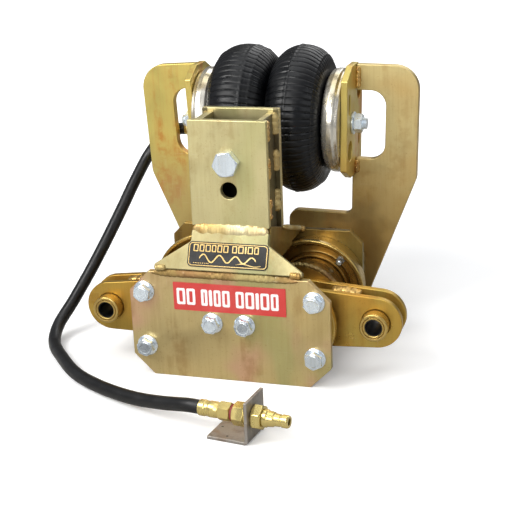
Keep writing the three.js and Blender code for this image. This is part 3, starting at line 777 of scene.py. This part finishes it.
def addSaddle():
    length = np.hypot(saddle["topZ"] - saddle["bottomZ"], saddle["topY"] - saddle["bottomY"])
    loop = roundedOutline([[-68, 0, 1], [68, 0, 1], [68, 4, 2], [35.5, 26, 3], [35.5, length, 1],
                           [-35.5, length, 1], [-35.5, 26, 3], [-68, 4, 2]], 4)
    addFixed("sloped_plate", [loop], steel, lambda p: onSaddle(facing(p, 0)), "saddleGold", 0.8)
    behind = steel / np.cos(saddleLean) + layout["gap"]
    back = lambda z: saddle["bottomY"] + (z - saddle["bottomZ"]) * np.tan(saddleLean) + behind
    z0, z1 = rib["deck"]
    rear = rearEdge["y"] - layout["gap"]
    loop = np.array([[back(z0), z0], [92, z0], [92, 104.9], [rear, 104.9], [rear, ribTop(rear)],
                     [rib["frontY"], rib["frontZ"]], [back(rib["frontZ"]), rib["frontZ"]]])
    for side, sign in signs.items():
        x0 = box["half"] - rib["thickness"] if sign > 0 else -box["half"]
        addFixed(f"side_rib_{side}", [loop], rib["thickness"], lambda p: sideways(p, x0), "shadedGold")
    loop = np.array([[back(z1), z0], [rear, z0], [rear, z1], [back(z1), z1]])
    half = box["half"] - rib["thickness"] - layout["gap"]
    addFixed("deck_plate", [loop], 2 * half, lambda p: sideways(p, -half), "shadedGold")


def addBox():
    h, backY = box["half"], box["y"] + box["depth"] - steel
    holes = [circle(0, box["boltZ"], box["hole"]), circle(0, box["spareZ"], box["hole"])]
    for name, y0, low, high in (("front", box["y"], box["bottom"], box["top"]),
                                ("back", backY, ribTop(backY) + 0.3, box["top"] + 2.5)):
        loop = rectangle(-h, h, low, high, 1, 1.2)
        addFixed(f"box_{name}", [loop, *holes], steel, lambda p: facing(p, y0), "boxGold", 0.7)
    y0, y1, top = box["y"] + steel + 0.3, backY - 0.3, box["top"] - 1
    loop = np.array([[y0, box["bottom"]], [rib["frontY"], box["bottom"]], [y1, ribTop(y1) + 0.6],
                     [y1, top], [y0, top]])
    for side, sign in signs.items():
        x0 = box["webX"] if sign > 0 else -box["webX"] - box["web"]
        addFixed(f"box_web_{side}", [loop], box["web"], lambda p: sideways(p, x0), "boxGold")


addEndPlates()
addSaddle()
addBox()
print("fixed plates")

# ---- arms ----

arm = {"thickness": 9.5, "edge": 0.9, "footR": 46.0, "boreR": 16.4}
bagPlate = {"y": (146.0, 216.0), "z": (148.0, 257.0), "chamfer": (22.0, 11.0), "studY": 171.0,
            "portY": 205.0, "portZ": 186.0}
lug = {"frontY": 30.0, "rearY": 51.0, "pivotR": 28.0, "endR": 23.3, "x": 126.5, "z": 55.2}


# the outline round two circles and their outer tangents
def linkLoop(x0, z0, r0, x1, z1, r1):
    along = np.arctan2(z1 - z0, x1 - x0)
    spread = np.arccos((r0 - r1) / np.hypot(x1 - x0, z1 - z0))
    near = along + np.linspace(spread, 2 * np.pi - spread, 60)
    far = along + np.linspace(-spread, spread, 60)
    return np.concatenate([np.column_stack([x1 + r1 * np.cos(far), z1 + r1 * np.sin(far)]),
                           np.column_stack([x0 + r0 * np.cos(near), z0 + r0 * np.sin(near)])])


def addCarried(name, side, loops, thickness, put, material, edge):
    addPlate(f"{name}_{side}_skin", loops, thickness, lambda p: onArm(put(p), side), material,
             f"{side}_arm", edge)


def addArm(side):
    px, pz = layout["pivotX"], layout["pivotZ"]
    left, foot = px - arm["footR"], arm["footR"]
    low = bagPlate["z"][0] - 0.3
    loop = roundedOutline([
        [left, pz], [left, pz - foot, foot - 0.01], [84, pz - foot, 30], [134.3, 146, 18],
        [134.3, 256, 24], [bagFace, 256, 0.8], [bagFace, 231, 1.5], [102.8, 231, 15],
        [102.8, 163.5, 15], [bagFace, 163.5, 1.5], [bagFace, low], [70.8, low], [70.8, 106.5, 7],
        [left, 106.5, 10],
    ], 14)
    addCarried("arm_plate", side, [loop, circle(px, pz, arm["boreR"])], arm["thickness"],
               lambda p: facing(p, layout["armY"]), "armGold" if side == "left" else "armShaded",
               arm["edge"])

    by, bz, cut = layout["bagY"], layout["bagZ"], bagPlate["chamfer"]
    loop = cutRectangle(*bagPlate["y"], *bagPlate["z"], cut, cut, 2)
    holes = [circle(by + 19, bz + 27, 9, 40), circle(by - 19, bz - 26, 10, 40),
             slotLoop(by - 24, bz + 20, 7, 20), circle(bagPlate["studY"], bz, 6.5, 32)]
    if side == "left":
        holes.append(circle(bagPlate["portY"], bagPlate["portZ"], 5, 32))
    else:
        holes.append(slotLoop(by + 22, bz - 18, 7, 20))
    addCarried("bag_plate", side, [loop, *holes], steel, lambda p: sideways(p, layout["bagPlateX"]),
               "armGold", 0.7)

    link = linkLoop(px, pz, lug["pivotR"], lug["x"], lug["z"], lug["endR"])
    for name, y, bore in (("front", lug["frontY"], 16.4), ("rear", lug["rearY"], 26.3)):
        loops = [link, circle(px, pz, bore), circle(lug["x"], lug["z"], 13.0)]
        addCarried(f"lug_{name}_plate", side, loops, steel, lambda p: facing(p, y), "lugGold", 0.8)
    behind = lug["frontY"] + steel + 0.3
    addCarried("lug_spacer", side, [rectangle(85, 110, 66, 76.5, 2, 3, 5)], 13.7,
               lambda p: facing(p, behind), "weldGold", 1.2)


for side in signs:
    addArm(side)
print("arms")

# ---- turned pieces ----

spindle = {"flangeR": 42.8, "flange": (6.7, 14.7), "shaftR": 16.0, "end": 215.5}
housing = {"rimR": 51.2, "neckR": 46.0, "boreR": 43.0, "y": 93.0, "back": 124.2}
sleeve = {"outerR": 12.7, "boreR": 7.15, "y": (18.0, 69.4)}


def atPivot(side):
    shift = np.array([signs[side] * layout["pivotX"], 0, layout["pivotZ"]])
    return lambda p: p + shift


def atLug(side):
    shift = np.array([lug["x"], 0, lug["z"]])
    return lambda p: onArm(p + shift, side)


def addTurnedPieces(side):
    put, carried = atPivot(side), f"{side}_arm"
    (f0, f1), wide, shaft, end = (spindle[k] for k in ("flange", "flangeR", "shaftR", "end"))
    profile = [[0, f0], [wide, f0, 0.8], [wide, f1, 1], [shaft, f1, 1.5], [shaft, end, 1.5], [0, end]]
    addRevolved(f"spindle_{side}_skin", profile, put, "turnedGold", "hanger")
    rim, neck, bore, y, back = (housing[k] for k in ("rimR", "neckR", "boreR", "y", "back"))
    profile = [[rim - 3.5, y, 0.8], [rim, y, 1.2], [rim, y + 5, 2], [neck + 1, y + 10, 4], [neck, back],
               [bore, back], [bore, y + 10, 3], [rim - 3.5, y + 5, 2]]
    addRevolved(f"bearing_housing_{side}_skin", profile, put, "turnedGold", "hanger",
                128, 6)
    profile = [[32.2, back], [32.2, 101, 0.6], [34.6, 101, 0.8], [34.6, 110, 1.5],
               [bore - 0.3, 110, 0.8], [bore - 0.3, back]]
    addRevolved(f"bearing_carrier_{side}_skin", profile, put, "turnedShaded", "hanger",
                128)
    angle = np.radians(48)
    aside = np.array([signs[side] * 38.8 * np.cos(angle), 0, 38.8 * np.sin(angle)])
    zerk = roundedOutline([[0, 109.7], [4, 109.7], [4, 105.4], [2.4, 104.4, 0.4], [2.1, 101.6, 0.4],
                           [3, 100.4, 0.7], [2.7, 98.4, 0.9], [1.2, 97.6, 0.3], [0, 97.6]], 4)
    flats = np.where((zerk[:, 1] > 105.3) & (zerk[:, 0] > 0), 7.2, 0)
    addBright(f"grease_fitting_{side}", [(zerk, flats, 0.2)], lambda p: put(p + aside))

    profile = [[16.4, 36.7], [26, 36.7, 1], [26, 57.7, 0.5], [38, 57.7, 1.2], [38, 66, 2], [34, 70, 2],
               [34, 88, 1], [31.6, 91, 1], [31.6, 185.7, 1], [16.4, 185.7]]
    addRevolved(f"hub_tube_{side}_skin", profile, lambda p: leaned(put(p), side), "turnedShaded", carried,
                112, 6)
    (y0, y1), o, b = (sleeve[k] for k in ("y", "outerR", "boreR"))
    # a thin dark lining in the sleeve's bore: painted shade inside the bore
    profile = [[b, y0 + 1.2], [b + 0.9, y0 + 1.2], [b + 0.9, y1 - 1.2], [b, y1 - 1.2]]
    addRevolved(f"sleeve_bore_shade_{side}", profile, atLug(side), "hoseRubber", carried, 64)
    profile = [[b + 0.6, y0, 0.8], [9.3, y0, 0.2], [9.6, y0 + 1.2, 0.2], [9.9, y0 + 1.2, 0.2],
               [10.2, y0, 0.2], [o, y0, 1.2], [o, y1, 1.2], [b + 0.6, y1, 0.8]]
    addRevolved(f"shackle_sleeve_{side}_skin", profile, atLug(side), "turnedGold", carried,
                72, 5)


for side in signs:
    addTurnedPieces(side)
print("turned pieces")

# ---- bolts, nuts and studs ----

flangeBolt = {"circleR": 37.1, "flangeR": 9.7, "headAF": 14.3, "shankR": 4.75}


def addFlangeBolt(side, spot, angle, phase):
    sign = signs[side]
    shift = np.array([sign * (layout["pivotX"] + flangeBolt["circleR"] * np.cos(angle)), 0,
                      layout["pivotZ"] + flangeBolt["circleR"] * np.sin(angle)])
    r, af = flangeBolt["flangeR"], flangeBolt["headAF"]
    washer = roundPart([[0, -0.3], [0, -2.2], [af / 2, -3.1, 1.5], [r - 0.6, -1.9, 0.5], [r, -1.4, 0.3],
                        [r, -0.3, 0.2]])
    head = hexPart(af, -9.1, -2.0, phase, 0.0, False)
    dish = roundPart([[0, -9.0], [4.6, -9.2, 0.3], [5.4, -9.35, 0.2], [5.9, -9.05, 0.2], [5.9, -8.4],
                      [0, -8.4]])
    shank = threadPart(flangeBolt["shankR"], -1.0, 17.7, 1.6, 0.5)
    addBright(f"flange_bolt_{side}_{spot}", [washer, head, dish, shank], lambda p: p + shift)


def addFasteners():
    spots = (("inner", np.pi), ("upper", np.pi / 4), ("lower", -np.pi / 4))
    phases = iter(np.radians([4, 38, 20, 12, 47, 31]))
    for side in signs:
        for spot, angle in spots:
            addFlangeBolt(side, spot, angle, next(phases))
    onBolt = lambda p: p + np.array([0, 0, box["boltZ"]])
    y0, y1 = box["y"] - 0.3, box["y"] + box["depth"] + 0.3
    addBright("hanger_bolt", [
        hexPart(20.6, y0 - 9, y0, np.radians(-8), 0.0, False),
        roundPart([[0, y0 - 1.2], [9.6, y0 - 1.2, 0.2], [9.6, y0], [0, y0]]),
        roundPart([[0, y0 - 1], [7, y0 - 1], [7, y1 + 6], [0, y1 + 6]]),
        threadPart(7, y1 + 5.5, y1 + 17, 2.0, 0.7),
    ], onBolt)
    addBright("hanger_nut", [hexPart(20.6, y1, y1 + 12, 0.3, 7.2)], onBolt)
    back, face = layout["armY"] + arm["thickness"] + 1, bagFace
    for side in signs:
        washer = roundPart([[16.3, back], [24, back, 0.3], [24, back + 2.6, 0.5], [16.3, back + 2.6]])
        nut = hexPart(41, back + 2.5, back + 15, 0.2, 16.3)
        addBright(f"spindle_nut_{side}", [washer, nut], atPivot(side))
        washer = roundPart([[0, face], [10.9, face, 0.3], [10.9, face + 1.9, 0.4], [0, face + 1.9]])
        parts = [washer, hexPart(16.4, face + 1.8, face + 10, 0.5),
                 threadPart(5.6, face - 5, face + 14, 1.6, 0.5)]
        addBright(f"bag_stud_{side}", parts, atBag(side, bagPlate["studY"], layout["bagZ"]), f"{side}_arm")


addFasteners()
print("fasteners")

# ---- air spring ----

bag = {"neckR": 44.0, "outerR": 72.0, "inner": -1.0, "outer": 50.0, "wall": 5.0, "ribs": 66,
       "grooveDepth": 0.75, "grooveWidth": 0.1, "lineHeight": 0.8}
bandLines = {"left": (1.0, 1.28, 2.3), "right": (1.5, 2.42)}


# half circle profile carried round the axis; a narrow bell-shaped groove is cut once per rib angle, fading
# towards both ends, and thin lines run round. Its waist stays upright and its outer end leans with the arm.
def addConvolute(side):
    turn = np.linspace(0, 2 * np.pi, bag["ribs"] * 10, endpoint=False)[:, None]
    phi = np.linspace(0, np.pi, 81)[None, :]
    middle, bulge = (bag["inner"] + bag["outer"]) / 2, (bag["outer"] - bag["inner"]) / 2
    fade = np.clip((np.sin(phi) - 0.22) / 0.3, 0, 1)
    cycle = turn * bag["ribs"] / (2 * np.pi) + 0.14 * np.cos(phi) * signs[side]
    groove = np.exp(-((cycle - np.round(cycle)) / bag["grooveWidth"]) ** 2)
    seam = np.exp(-(((turn - 1.9 + np.pi) % (2 * np.pi) - np.pi) / 0.02) ** 2)
    lines = sum(np.exp(-((phi - p) / 0.028) ** 2) for p in bandLines[side])
    raised = fade * (bag["grooveDepth"] * (1 - groove) + 0.3 * seam) + bag["lineHeight"] * lines + 0 * turn
    swell = bag["outerR"] - 0.9 - bag["neckR"]
    radius = bag["neckR"] + (swell + raised) * np.sin(phi)
    along = middle - (bulge - 0.6 + raised) * np.cos(phi)
    inner = np.linspace(np.pi, 0, 21)[None, :]
    ratio = (bulge - bag["wall"]) / bulge
    radiusIn = bag["neckR"] + swell * ratio * np.sin(inner) - 3 + 0 * turn
    alongIn = middle - (bulge - bag["wall"]) * np.cos(inner) + 0 * turn
    mouth = np.array([[46.0, bag["outer"] + 1.0], [46.0, bag["outer"] + 4.5], [41.0, bag["outer"] + 4.5]])
    radius = np.concatenate([radius, mouth[:, 0] + 0 * turn, radiusIn], axis=1)
    along = np.concatenate([along, mouth[:, 1] + 0 * turn, alongIn], axis=1)
    points = [along, layout["bagY"] - radius * np.cos(turn), layout["bagZ"] + radius * np.sin(turn)]
    points = np.stack(points, axis=-1).reshape(-1, 3)
    upright = mirrored(points, side)
    weight = np.clip((points[:, :1] - bag["inner"]) / (bag["outer"] - bag["inner"]), 0, 1)
    weight = weight * weight * (3 - 2 * weight)
    points = upright * (1 - weight) + leaned(upright, side) * weight
    faces = gridFaces(bag["ribs"] * 10, radius.shape[1], True, True)
    piece = addPiece(f"bellows_{side}_skin", points, faces, "bagRubber", None, 60)
    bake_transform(piece)


def addBead(side):
    profile = [[0, 51], [46.6, 51, 0.6], [48.9, 52.6, 1.5], [50.4, 57.0, 2.5], [50.4, 61.5, 1.4],
               [48.2, 63.4, 1], [47.6, 66.0, 0.8], [44, 66.9, 0.6], [0, 66.9]]
    addRevolved(f"bead_plate_{side}_skin", profile, atBag(side, layout["bagY"], layout["bagZ"]),
                "beadSilver", f"{side}_arm", 160, 6)


for side in signs:
    addConvolute(side)
    addBead(side)
addRevolved("girdle_hoop_skin", [[41, -1.3], [47.5, -1.3, 1], [47.5, 1.3, 1], [41, 1.3]],
            lambda p: alongX(p) + np.array([0, layout["bagY"], layout["bagZ"]]), "bagRubber", "hanger",
            160, 6)
print("air spring")

# ---- air hose ----

hose = {"radius": 6.0, "stations": 260, "sides": 28, "guide": (0, 0.857, -0.514)}
fittingStart = leaned(np.array([[-100.3, bagPlate["portY"], bagPlate["portZ"]]]), "left")[0]
heading = leaned(np.array([[-106.3, bagPlate["portY"], bagPlate["portZ"]]]), "left")[0] - fittingStart
inlet = np.array([np.cos(coupling["turn"]), np.sin(coupling["turn"]), 0])
route = np.array([
    fittingStart, fittingStart + heading, [-130, 206, 176], [-147, 203, 157], [-157, 181, 132],
    [-165, 157, 106], [-173, 133, 81], [-182, 109, 56], [-191.6, 84, 32], [-198.6, 61, 14.5],
    [-192.5, 37, 7], [-168, 3, 6.3], [-137, -30, 6.3], [-101, -53, 6.6], [-64, -71, 9], [-34, -84, 14],
    coupling["start"] - 10 * inlet, coupling["start"],
])


# centripetal Catmull-Rom: knots are spaced by the square root of the distance, then each leg is a cubic
def smoothLine(points, count):
    ends = np.concatenate([2 * points[:1] - points[1:2], points, 2 * points[-1:] - points[-2:-1]])
    step = np.linalg.norm(np.diff(ends, axis=0), axis=1)[:, None] ** 0.5
    d0, d1, d2 = step[:-2], step[1:-1], step[2:]
    a, b, c, d = ends[:-3], ends[1:-2], ends[2:-1], ends[3:]
    m1 = ((b - a) / d0 - (c - a) / (d0 + d1) + (c - b) / d1) * d1
    m2 = ((c - b) / d1 - (d - b) / (d1 + d2) + (d - c) / d2) * d1
    t = np.linspace(0, 1, 24, endpoint=False)[None, :, None]
    b, c, m1, m2 = (v[:, None, :] for v in (b, c, m1, m2))
    legs = (2 * t**3 - 3 * t**2 + 1) * b + (t**3 - 2 * t**2 + t) * m1
    legs = legs + (-2 * t**3 + 3 * t**2) * c + (t**3 - t**2) * m2
    dense = np.concatenate([legs.reshape(-1, 3), points[-1:]])
    far = distances(dense)
    return pointsAt(dense, far, np.linspace(0, far[-1], count)), far[-1]


def addHose():
    line, length = smoothLine(route, hose["stations"])
    out, across = lineFrame(line, np.array(hose["guide"]))
    phi = np.linspace(0, 2 * np.pi, hose["sides"], endpoint=False)[None, :, None]
    points, faces = sweptMesh(line, hose["radius"] * (np.cos(phi) * across + np.sin(phi) * out))
    piece = addPiece("air_hose_skin", points, faces, "hoseRubber", None, 50)
    rowLine = toRow(line)
    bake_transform(piece)
    return piece, rowLine, length * 0.001


hosePiece, hoseLine, hoseLength = addHose()
print("air hose", round(hoseLength, 3), "m")

# ---- brass coupling and bracket ----


def addCoupling():
    line = lambda p: onCoupling(alongX(p))
    brass = lambda name, parts: addTurnedSet(f"{name}_skin", parts, line, "brassX", "hanger")
    ferrule = roundPart([[0, 0.3], [6.9, 0.3, 0.5], [6.9, 5.2, 0.5], [6.45, 6.2, 0.5], [6.45, 8.8, 0.5],
                         [6.9, 9.8, 0.5], [6.9, 15, 1], [6.3, 18.2, 0.6], [0, 18.2]], 5)
    seal = roundPart([[0, 29.3], [7.1, 29.3, 0.6], [7.1, 31.6, 0.6], [0, 31.6]])
    neck = roundPart([[0, 42], [8, 42, 0.4], [8, 45.5, 0.4], [0, 45.5]])
    pieces = [
        brass("hose_ferrule", [ferrule]),
        brass("swivel_nut", [hexPart(14.3, 18.5, 29.0, 0.35)]),
        addTurnedSet("union_seal_skin", [seal], line, "sealRubber", "hanger"),
        brass("hex_union", [hexPart(17.5, 31.9, 42.4, 0.1), neck, threadPart(6, 45, 57, 1.3, 0.5)]),
    ]
    plateX, floor, sheet, long, tall = 45.8, -coupling["start"][2], 2.8, 34, 37
    fold = roundedOutline([[plateX - long, floor, 0.5], [plateX + sheet, floor, 3.6],
                           [plateX + sheet, floor + tall, 0.5], [plateX, floor + tall, 0.5],
                           [plateX, floor + sheet, 1.2], [plateX - long, floor + sheet, 0.5]])
    pieces.append(addPlate("floor_bracket_skin", [fold], 33, lambda p: onCoupling(facing(p, -13.5)),
                           "rawSteel", "hanger"))
    points, faces = revolved(np.array([[0, 0], [1.1, 0], [0.9, 0.12], [0, 0.12]]), 24)
    marks = [(points[:, [0, 2, 1]] + np.array([plateX + x, y, floor + sheet - 0.05]), faces.tolist())
             for x, y in ((-29, 6), (-18, -8), (-7, 11))]
    pieces.append(addMarks("bracket_marks", marks, onCoupling, "hoseRubber"))
    nutX = plateX + sheet + 0.3
    s = nutX + 8.8
    plug = roundPart([[0, s], [7.4, s, 0.4], [7.4, s + 3, 0.6], [6.7, s + 4, 0.3], [6.1, s + 9, 0.5],
                      [5.3, s + 9.8, 0.3], [5.1, s + 14.4, 0.2], [4.5, s + 14.9, 0.2],
                      [4.5, s + 15.8, 0.2], [5.4, s + 16.3, 0.3], [5.4, s + 20.6, 0.8],
                      [4.8, s + 22, 0.4], [3.0, s + 22, 0.3], [3.0, s + 12], [0, s + 12]], 5)
    return [*pieces, brass("lock_nut", [hexPart(19, nutX, nutX + 8.5, 0.5)]), brass("coupler_plug", [plug])]


def addAirFitting():
    face = bagFace
    stem = roundPart([[0, face + 8.5], [5.4, face + 8.5], [5.4, face + 12, 0.6], [6.6, face + 13.5, 0.6],
                      [6.6, 97, 1], [6.0, 100, 0.8], [0, 100]], 5)
    parts = [hexPart(14.3, face, face + 9, 0.2), threadPart(4.4, face - 6, face + 1, 1.3, 0.4), stem]
    addTurnedSet("air_fitting_skin", parts, atBag("left", bagPlate["portY"], bagPlate["portZ"]), "brassX",
                 "left_arm")


couplingPieces = addCoupling()
addAirFitting()
print("coupling")

# ---- badge and label ----

badge = {"half": 37.0, "low": 3.5, "high": 26.0, "depth": 0.5, "strip": (-0.95, 0.2)}
label = {"x": (-50.5, 53.5), "z": (65.3, 91.5), "strip": (-0.72, 0.16)}


def stripPoints(loops, y0, thickness):
    points, faces = plateMesh(loops, thickness, min(0.08, thickness / 3))
    return facing(points, y0), faces


badgeMarks = ((4.6, 4.4, 4.8, 4.0, 4.4, 4.6), (4.4, 5.0, 1.5, 4.8, 4.2))
labelMarks = ((8.0, 8.0), (6.0, 3.0, 6.5, 7.0), (7.5, 8.0, 3.0, 8.0, 7.0))


# a plain mark in place of a letter: an upright bar, or a square ring where it is wide enough
def markLoops(x, width, low, high, line):
    soft = line * 0.6
    outer = rectangle(x, x + width, low, high, soft)
    if width < 2.4 * line:
        return [outer]
    return [outer, rectangle(x + line, x + width - line, low + line, high - line, soft / 2, steps=3)]


# words of such marks, with a space after each mark and a wider one after each word
def wordMarks(words, x, low, high, line, spaces, strip):
    marks = []
    for word in words:
        for width in word:
            marks.append(stripPoints(markLoops(x, width, low, high, line), *strip))
            x += width + spaces[0]
        x += spaces[1]
    return marks


# flat ribbon: the line's points moved up and down by half its width
def ribbon(line, half):
    lift = np.column_stack([np.zeros(len(line)), half + np.zeros(len(line))])
    return stripPoints([np.concatenate([line - lift, (line + lift)[::-1]])], *badge["strip"])


def addBadge():
    w, z0, z1 = badge["half"], badge["low"], badge["high"]
    inset = lambda d, radius: rectangle(-w + d, w - d, z0 + d, z1 - d, radius, steps=10)
    points, faces = stripPoints([inset(0, 4)], -0.8, badge["depth"])
    addPiece("name_plate_skin", onSaddle(points), faces, "badgeBlack", "hanger", 40)
    marks = [stripPoints([inset(1, 3.2), inset(1.7, 2.6)], *badge["strip"])]
    marks += wordMarks(badgeMarks, -32.0, z0 + 13.6, z0 + 20.0, 0.95, (1.1, 2.4), badge["strip"])
    u = np.linspace(0, 1, 120)
    middle = z0 + 7.8 + 3.6 * np.sin(u * 7 * np.pi) * (1 - 0.3 * u)
    half = 0.45 + 0.5 * np.abs(np.cos(u * 7 * np.pi))
    marks.append(ribbon(np.column_stack([-26 + 52 * u, middle]), half))
    middle = z0 + 3.6 + 0.9 * np.sin(u * 2 * np.pi)
    marks.append(ribbon(np.column_stack([8 + 23 * u, middle]), 0.15 + 0.7 * u * (1 - u) ** 0.5))
    marks += [stripPoints([circle(-31 + i * 1.7, z0 + 3.4, 0.5, 8)], *badge["strip"]) for i in range(9)]
    addMarks("badge_marks", marks, onSaddle, "badgeGold")


def addLabel():
    (x0, x1), (z0, z1) = label["x"], label["z"]
    points, faces = stripPoints([rectangle(x0, x1, z0, z1, 0.8)], -0.6, 0.3)
    addPiece("warning_label_skin", points, faces, "labelRed", "hanger", 40)
    marks = wordMarks(labelMarks, x0 + 3.2, z0 + 5.4, z1 - 5.4, 2.4, (1.4, 4.1), label["strip"])
    addMarks("label_marks", marks, lambda p: p, "labelWhite")


addBadge()
addLabel()
print("badge and label")

# ---- welds ----


def addWeld(name, path, width, height, seed, up, pitch=1.8, material="weldGold", side=None):
    points, faces = weldBead(path, width, height, pitch, seed, up)
    if side:
        addPiece(name, onArm(points, side), faces, material, f"{side}_arm", 50)
    else:
        addPiece(name, points, faces, material, "hanger", 50)


def ringPath(x, z, radius, y, a0=0.0, a1=360.0, count=90):
    a = np.radians(np.linspace(a0, a1, count))
    return np.column_stack([x + radius * np.cos(a), np.full(count, y), z + radius * np.sin(a)])


# directions away from a ring's middle, tilted along Y
def awayFrom(x, z, tilt):
    return lambda line: np.column_stack([line[:, 0] - x, np.full(len(line), tilt), line[:, 2] - z])


def addWelds():
    for side, sign in signs.items():
        out = (sign * 1.0, 0.5, 0)
        for i, (z0, z1) in enumerate(((235, 214), (202, 181), (166, 144))):
            front = [(sign * 32.4, 27.4, z0 - 1.5), (sign * 32.4, 27.4, z1)]
            addWeld(f"box_weld_{side}_{i}", front, 13.0, 3.4, 10 + i, out, 3.4, "beadGold")
            rear = [(sign * 31.8, 57.6, z0 - 1), (sign * 31.8, 57.6, z1)]
            addWeld(f"box_rear_weld_{side}_{i}", rear, 9.0, 3.0, 20 + i, (sign * 1.0, -0.6, 0), 3.0)
        path = [(sign * 57, 0.5, 104.2), (sign * 67, 0.8, 103.4)]
        addWeld(f"saddle_weld_{side}", path, 5.5, 3, 31, (0, -0.6, 0.8), 2.2)
        path = [(sign * 36, 124, 107), (sign * 36, 118, 109.5), (sign * 36, 60, 128.5)]
        addWeld(f"rib_weld_{side}", path, 5, 2.4, 33, (sign * 1.0, 0, 0.5))
        path = [(sign * 28, 123.6, 107.4), (sign * 40, 123.6, 107.4)]
        addWeld(f"rib_rear_weld_{side}", path, 6, 3, 34, (0, -0.4, 1))
    addWeld("box_foot_weld", [(-35, 16.6, 136.5), (35, 16.6, 136.5)], 11.5, 1.9, 41, (0, -1, 0.25), 2.6)
    addWeld("front_top_weld", [(-72, 0.6, 99.2), (66, 0.6, 99.2)], 6.8, 1.0, 42, (0, -1, 0.5), 2.4,
            "seamGold")
    px, pz = layout["pivotX"], layout["pivotZ"]
    for side in signs:
        for i, (z0, z1) in enumerate(((254, 233), (162, 149))):
            for j, y in enumerate((layout["armY"] - 0.6, layout["armY"] + 10.1)):
                up = (0.7, -1 if j == 0 else 1, 0)
                addWeld(f"bag_plate_weld_{side}_{i}_{j}", [(75.2, y, z0), (75.2, y, z1)], 6.5, 3.2,
                        51 + i, up, 1.8, "beadGold", side)
        addWeld(f"lug_slot_weld_{side}", [(84, 43.7, 79.6), (111, 43.7, 77.4)], 12, 3, 61, (0, 0, 1), 2.6,
                "beadGold", side)
        addWeld(f"hub_ring_weld_{side}", ringPath(px, pz, 39.0, 58.6, 15, 165), 4.2, 2.2, 62,
                awayFrom(px, pz, -12.0), 1.8, "seamGold", side)
        addWeld(f"arm_ring_weld_{side}", ringPath(px, pz, 32.6, 184.6), 6.0, 2.6, 63,
                awayFrom(px, pz, -20.0), 1.8, "seamGold", side)


addWelds()
print("welds")

# ---- floor ----

# white to the camera, but grey to the metal that mirrors it
tree, shader, position = startMaterial("studioFloor", 0.0)
cloud = mixed(tree, noise(tree, position, 3.0, 2.0), tone(252, 252, 252), tone(249, 250, 251))
seen = tree.nodes.new("ShaderNodeLightPath").outputs["Is Camera Ray"]
shader.inputs["Roughness"].default_value = 0.6
shader.inputs["Specular IOR Level"].default_value = 0.2
tree.links.new(mixed(tree, seen, tone(176, 174, 170), cloud), shader.inputs["Base Color"])
shader.inputs["Emission Color"].default_value = (1, 1, 1, 1)
reach = addNode(tree, "ShaderNodeVectorMath", {"operation": "LENGTH"}, _0=position).outputs["Value"]
glow = ramp(tree, reach, 0.24, 1.5, 0.15, 0.85)
tree.links.new(times(tree, seen, glow), shader.inputs["Emission Strength"])


# the floor runs back, turns up through a quarter circle and becomes the backdrop
def addFloor(back=2.4, bend=1.2, half=5.0, tall=4.0):
    angle = np.linspace(0, np.pi / 2, 33)
    y = np.concatenate([[-4.0, 0.0], back + bend * np.sin(angle), [back + bend]])
    z = np.concatenate([[0.0, 0.0], bend - bend * np.cos(angle), [tall]])
    x = np.array([-half, half])[:, None] + 0 * y
    points = np.stack([x, y + 0 * x, z + 0 * x], axis=-1).reshape(-1, 3)
    mesh = bpy.data.meshes.new("floor")
    mesh.from_pydata(points.tolist(), [], gridFaces(2, len(y)).tolist())
    mesh.materials.append(materials["studioFloor"])
    mesh.shade_smooth()
    newObject("floor", mesh)


addFloor()
print("floor")
